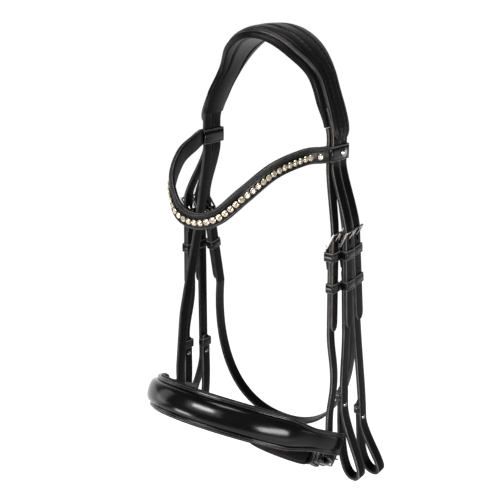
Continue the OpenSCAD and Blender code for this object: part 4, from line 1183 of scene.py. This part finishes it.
def chin_place(out, on):
    """Point of the chin plane, counted out from the buckle seat and on along the strap."""
    c, s = np.cos(np.radians(CHIN_TURN)), np.sin(np.radians(CHIN_TURN))
    out, on = np.asarray(out, float), np.asarray(on, float)
    return np.stack([CHIN_BAR[0] + c * out - s * on, CHIN_BAR[1] + s * out + c * on], -1)


def chin_curve():
    """Near half of the chin strap, from below its buckle to the middle: one cubic curve."""
    bend = chin_place(lower_x(), 56)
    on = chin_place(lower_x(), 64)
    return cubic([bend, on, [24, CHIN_DEPTH], [0, CHIN_DEPTH]], 24)


def chin_local(p):
    """Point of the chin buckle's own frame, in the bridle's frame."""
    p = np.asarray(p, float)
    q = chin_place(p[..., 0], -p[..., 2])
    return chin_frame(np.concatenate([q, p[..., 1:2]], -1))


class BRIDLE_OT_chin_strap(bpy.types.Operator):
    """Makes the chin strap, its point and its pad"""
    bl_idname = "bridle.chin_strap"
    bl_label = "Chin Strap"

    def execute(self, context):
        normal = chin_frame(np.array([[0, 0, 1.0]]))[0] - chin_frame(np.array([[0, 0, 0.0]]))[0]
        curve = chin_curve()
        flip = np.array([-1, 1])
        side = NOSE_HALF - GAP - thick_mm() / 2 - 0.6
        fold = fold_path(np.zeros((0, 2)), run=21.5)
        fold = chin_place(fold[:, 0], -fold[:, 1])
        tail = eased([
            chin_place(lower_x(), 30) * flip, chin_place(lower_x(), -6) * flip, [-side, 8], [-side, -6]],
            [(16, 14), (14, 6)])
        line = np.concatenate([fold, curve, curve[-2::-1] * flip, tail])
        path = chin_frame(np.concatenate([line, np.zeros((len(line), 1))], 1))
        grid, uv, edge = strap(path, normal, CHIN_W, fold_thickness)
        obj = skin("chin_strap_leather", grid, uv, edge, strap_leather())
        cut_placed(obj, hub_room(), chin_local)
        settle(obj, ROOT, "strap_leather", "chin_strap")

        line = eased([[side, -6], [side, 6], chin_place(upper_x(), -15), chin_place(upper_x(), 52)], 8)
        path = chin_frame(np.concatenate([line, np.zeros((len(line), 1))], 1))
        grid, uv, edge = strap(path, normal, CHIN_W, thick_mm())
        obj = skin("chin_point_strap", grid, uv, edge, strap_leather())
        cut_placed(obj, tongue_slot(), chin_local)
        out = chin_local([1, 0, 0]) - chin_local([0, 0, 0])
        cut(obj, *tube_cutter([(chin_local([upper_x(), 0, FIRST_HOLE - HOLE_PITCH]), out)], HOLE_R, 8))
        settle(obj, ROOT, "strap_leather", "chin_point")
        self.pad(curve, flip)
        return {"FINISHED"}

    def pad(self, curve, flip):
        """Crowned cushion inside the chin: a half oval section whose depth and height fall toward both ends."""
        line, s = evenly(np.concatenate([curve, curve[-2::-1] * flip]), 1.2)
        d = unit(np.gradient(line, axis=0))
        inward = np.stack([-d[:, 1], d[:, 0]], 1)
        f = 0.35 + 0.65 * np.sqrt(np.clip(np.sin(np.pi * s / s[-1]), 0, 1))
        high = (CHIN_W / 2 + 3) * (0.7 + 0.3 * f)
        k = np.radians(np.linspace(0, 180, 31))
        deep = 6 * f[:, None] * np.sin(k) ** 0.6
        z = high[:, None] * np.cos(k)
        deep = np.concatenate([deep, np.zeros((len(s), 2))], 1) + thick_mm() / 2 + GAP
        z = np.concatenate([z, -0.6 * high[:, None], 0.6 * high[:, None]], 1)
        flat = line[:, None] + inward[:, None] * deep[..., None]
        grid = chin_frame(np.concatenate([flat, z[..., None]], -1))
        uv = np.stack([np.abs(z) - high[:, None] + 3.0, np.broadcast_to(s[:, None], z.shape)], -1)
        mat = leather("chin pad leather", colours().lining, 0.4, pebble=700, depth=0.00006, shine=0.08,
                      row=0.0, pitch=3.0, edge=False)
        obj = skin("chin_pad_padded", grid, uv, np.zeros(z.shape), mat)
        settle(obj, ROOT, "lining_leather", "chin_pad")


def keeper_box(x_lo, x_hi, w):
    """Corners of the room inside a keeper round straps from x_lo to x_hi."""
    fit = KEEPER_FIT
    return [x_lo - fit, -w / 2 - fit], [x_hi + fit, w / 2 + fit]


class BRIDLE_OT_keepers(bpy.types.Operator):
    """Makes the fixed keepers, the running keepers and the billet keepers"""
    bl_idname = "bridle.keepers"
    bl_label = "Keepers"

    def execute(self, context):
        face, lower = SEAT + thick_mm(), -SEAT - thick_mm()
        fold = BAR_X - EYE_R
        fixed, billet = [], []
        for name, s in hung_straps().items():
            put = lambda p, s=s: to_side(hung_point(s, p), s.side)
            fixed.append(self.ring(name + "_fixed_keeper", put, fold, face, s.width, FIXED_Z))
            run = self.ring(name + "_running_keeper", put, lower, face, s.width, RUNNING_Z)
            settle(run, name + "_runner", "strap_leather", name + "_runner")
            if s.bow is not None:
                x = lower_x() - s.bow
                t = thick_mm()
                sewn_in = x + t / 2 - KEEPER_WALL - KEEPER_FIT - 0.5
                inside, high = x - t - GAP - t / 2, s.loop - s.length + 17
                billet.append(self.ring(name + "_billet_keeper", put, inside, sewn_in, s.width, high))
        fixed.append(self.ring("chin_fixed_keeper", chin_local, fold, face, CHIN_W, FIXED_Z))
        run = self.ring("chin_running_keeper", chin_local, lower, face, CHIN_W, CHIN_RUNNING_Z)
        settle(run, "chin_runner", "strap_leather", "chin_runner")
        for obj in fixed:
            settle(obj, ROOT, "strap_leather", "fixed_keepers")
        for obj in billet:
            settle(obj, ROOT, "strap_leather", "billet_keepers")
        return {"FINISHED"}

    def ring(self, name, put, x_lo, x_hi, width, z):
        """Keeper at height z on a strap, moved into its place by put."""
        lo, hi = keeper_box(x_lo, x_hi, width)
        grid, uv, edge = band_ring(lo, hi, 0.5, KEEPER_H, KEEPER_WALL)
        return skin(name, put(grid + np.array([0, 0, z])), uv, edge, keeper_leather(), loop=True)


# Browband

def brow_line(count):
    """Middle line of the band: shares of its half width, depth and dip, joined by a smooth cubic."""
    shares = np.array([[1, 0, 0], [0.96, 0.06, 0], [0.85, 0.22, 0.01], [0.72, 0.55, 0.16],
                       [0.55, 0.82, 0.51], [0.3, 0.96, 0.88], [0, 1, 1]])
    halves = []
    for side in (1, -1):
        lo, hi = loop_box(side)
        start = np.array([(lo[0] + hi[0]) / 2, lo[1] - LOOP_WALL - GAP, loop_z()])
        halves.append(np.stack([
            side * start[0] * shares[:, 0],
            start[1] - side * CROWN_SKEW * (1 - shares[:, 0]) - BROW_DEPTH * shares[:, 1],
            start[2] - BROW_DIP * shares[:, 2]], 1))
    table = np.concatenate([halves[0], halves[1][-2::-1]])
    return smooth_at(table, np.linspace(0, len(table) - 1, count))


def brow_frame(path):
    """Width direction and outward direction along the band; square to the loops at both ends."""
    d = unit(np.gradient(path, axis=0))
    d[0], d[-1] = [0, -1, 0], [0, 1, 0]
    up = unit(np.array([0, 0, 1.0]) - d[:, 2:3] * d)
    return up, np.cross(up, d)


class BRIDLE_OT_browband(bpy.types.Operator):
    """Makes the browband, its lining and its end loops"""
    bl_idname = "bridle.browband"
    bl_label = "Browband"

    def execute(self, context):
        path = brow_line(361)
        up, out = brow_frame(path)
        far = run_length(path)
        a = BROW_W / 2
        cord = np.radians(np.linspace(-60, 150, 9))
        edge_u = a - 1.45 + 1.45 * np.cos(cord)
        edge_h = 2.45 + 1.45 * np.sin(cord)
        u = np.r_[a - 0.3, a, edge_u, a - 3.2, a - 3.9, 0, 3.9 - a, 3.2 - a, -edge_u[::-1], -a, 0.3 - a]
        h = np.r_[0, 0.4, edge_h, 2.45, 2.6, 2.75, 2.6, 2.45, edge_h[::-1], 0.4, 0]
        # Edge mark: pale outer edges and corded rims, partly wear and partly a painted highlight.
        e = np.r_[1, 1, np.full(9, 0.25), 0.1, 0, 0, 0, 0.1, np.full(9, 0.25), 1, 1]
        mat = leather("browband leather", colours().leather, 0.3, pebble=1000, depth=0.00004, shine=0.25,
                      row=a - 3.75, pitch=2.4)
        self.sweep("browband_leather", path, up, out, u, h, e, far, mat, "strap_leather", "browband")
        b = a + 0.4
        u = np.r_[b - 1, b - 0.35, b, b - 0.35, b - 1.2, 0, 1.2 - b, 0.35 - b, -b, 0.35 - b, 1 - b]
        h = -GAP - np.r_[0, 0.3, 1, 1.8, 2.15, 2.2, 2.15, 1.8, 1, 0.3, 0]
        e = np.zeros(len(u))
        self.sweep("browband_lining_leather", path, up, out, u, h, e, far, lining_leather(),
                   "lining_leather", "browband_lining")
        for side, name in ((1, "near"), (-1, "off")):
            lo, hi = loop_box(side)
            grid, uv, edge = band_ring(lo, hi, 0.8, LOOP_H, LOOP_WALL)
            grid = to_side(grid + np.array([0, 0, loop_z()]), side)
            obj = skin(name + "_browband_end_loop", grid, uv, edge, keeper_leather(), loop=True)
            settle(obj, BAND, "strap_leather", name + "_browband_loop")
        return {"FINISHED"}

    def sweep(self, name, path, up, out, u, h, e, far, mat, slot, node):
        """Section of width u and outward height h carried along the band."""
        grid = path[:, None] + up[:, None] * u[:, None] + out[:, None] * h[:, None]
        shape = grid.shape[:2]
        uv = np.stack([np.broadcast_to(u, shape), np.broadcast_to(far[:, None], shape)], -1)
        settle(skin(name, grid, uv, np.broadcast_to(e, shape), mat), BAND, slot, node)


class BRIDLE_OT_stones(bpy.types.Operator):
    """Sets the row of cut stones on the browband"""
    bl_idname = "bridle.stones"
    bl_label = "Stones"

    def execute(self, context):
        path = brow_line(1201)
        up, out = brow_frame(path)
        far = run_length(path)
        row = np.arange(-STONES_A_SIDE, STONES_A_SIDE + 1) * STONE_PITCH
        want = far[-1] / 2 + np.r_[row[0] - END_STONE, row, row[-1] + END_STONE]
        p, w, n = (np.stack([np.interp(want, far, v[:, k]) for k in range(3)], 1) for v in (path, up, out))
        w, n = unit(w), unit(n)
        t = np.cross(w, n)
        self.cut_stones(p + n * 2.9 - w * 1.0, t, w, n)
        return {"FINISHED"}

    def cut_stones(self, p, t, w, n):
        """Each stone is rings of twelve points: a girdle, a brow turned half a step and a flat table."""
        m = 12
        radius, height, turned = np.array([
            (2.6, 0.5, 0), (2.6, 1.45, 0), (3.3, 1.6, 0), (2.45, 2.4, 0.5), (1.35, 2.85, 0)]).T[..., None]
        a = (np.arange(m) + turned) * 2 * np.pi / m
        x, y = (radius * np.cos(a)).ravel(), (radius * np.sin(a)).ravel()
        z = np.broadcast_to(height, a.shape).ravel()
        pts = p[:, None] + x[:, None] * t[:, None] + y[:, None] * w[:, None] + z[:, None] * n[:, None]
        k = np.arange(m)
        base, wall, girdle, brow, table = (np.stack([k, (k + 1) % m]) + m * j for j in range(5))
        kinds = [
            np.stack([base[0], base[1], wall[1], wall[0]], 1), np.stack([wall[0], wall[1], girdle[1], girdle[0]], 1),
            np.stack([girdle[0], girdle[1], brow[0]], 1), np.stack([girdle[1], brow[1], brow[0]], 1),
            np.stack([brow[0], table[1], table[0]], 1), np.stack([brow[0], brow[1], table[1]], 1),
            base[:1, ::-1], table[:1]]
        start = np.arange(len(p))[:, None, None] * len(x)
        faces = sum(((f + start).reshape(-1, f.shape[1]).tolist() for f in kinds), [])
        mesh = bpy.data.meshes.new("browband_stones")
        mesh.from_pydata((pts.reshape(-1, 3) * 0.001).tolist(), [], faces)
        mesh.materials.append(stone_finish())
        obj = bpy.data.objects.new("browband_stones", mesh)
        bpy.context.scene.collection.objects.link(obj)
        settle(obj, BAND, "stone", "stones")


class BRIDLE_OT_metalwork(bpy.types.Operator):
    """Gives the buckles, tongues, studs and cups their polished metal"""
    bl_idname = "bridle.metalwork"
    bl_label = "Metalwork"

    def execute(self, context):
        finish = metal()
        for name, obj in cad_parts.items():
            if name.endswith(("_buckle", "_tongue")) or name in ("loop_studs", "hook_studs", "stone_cups"):
                obj.data.materials.clear()
                obj.data.materials.append(finish)
        return {"FINISHED"}


class BRIDLE_PT_panel(bpy.types.Panel):
    """Lists the sizes, colours and pieces of the bridle"""
    bl_idname = "BRIDLE_PT_panel"
    bl_label = "Bridle"
    bl_space_type = "VIEW_3D"
    bl_region_type = "UI"
    bl_category = "Bridle"

    def draw(self, context):
        layout = self.layout
        for group in (context.scene.bridle_sizes, context.scene.bridle_colours):
            for key in group.__annotations__:
                layout.prop(group, key)
        for step in STEPS:
            layout.operator(step.bl_idname)


STEPS = (
    BRIDLE_OT_stage, BRIDLE_OT_crown, BRIDLE_OT_points, BRIDLE_OT_cheekpieces, BRIDLE_OT_hangers,
    BRIDLE_OT_throatlatch, BRIDLE_OT_noseband, BRIDLE_OT_chin_strap, BRIDLE_OT_keepers, BRIDLE_OT_browband,
    BRIDLE_OT_stones, BRIDLE_OT_metalwork)
CLASSES = (BridleSizes, BridleColours) + STEPS + (BRIDLE_PT_panel,)


def register():
    """Adds the classes, and the sizes and colours on the scene."""
    for c in CLASSES:
        bpy.utils.register_class(c)
    bpy.types.Scene.bridle_sizes = bpy.props.PointerProperty(type=BridleSizes)
    bpy.types.Scene.bridle_colours = bpy.props.PointerProperty(type=BridleColours)


def unregister():
    """Takes away what register added."""
    del bpy.types.Scene.bridle_colours
    del bpy.types.Scene.bridle_sizes
    for c in reversed(CLASSES):
        bpy.utils.unregister_class(c)


def main():
    """Makes every piece in order."""
    register()
    for step in STEPS:
        group, name = step.bl_idname.split(".")
        getattr(getattr(bpy.ops, group), name)()


if __name__ == "__main__":
    main()
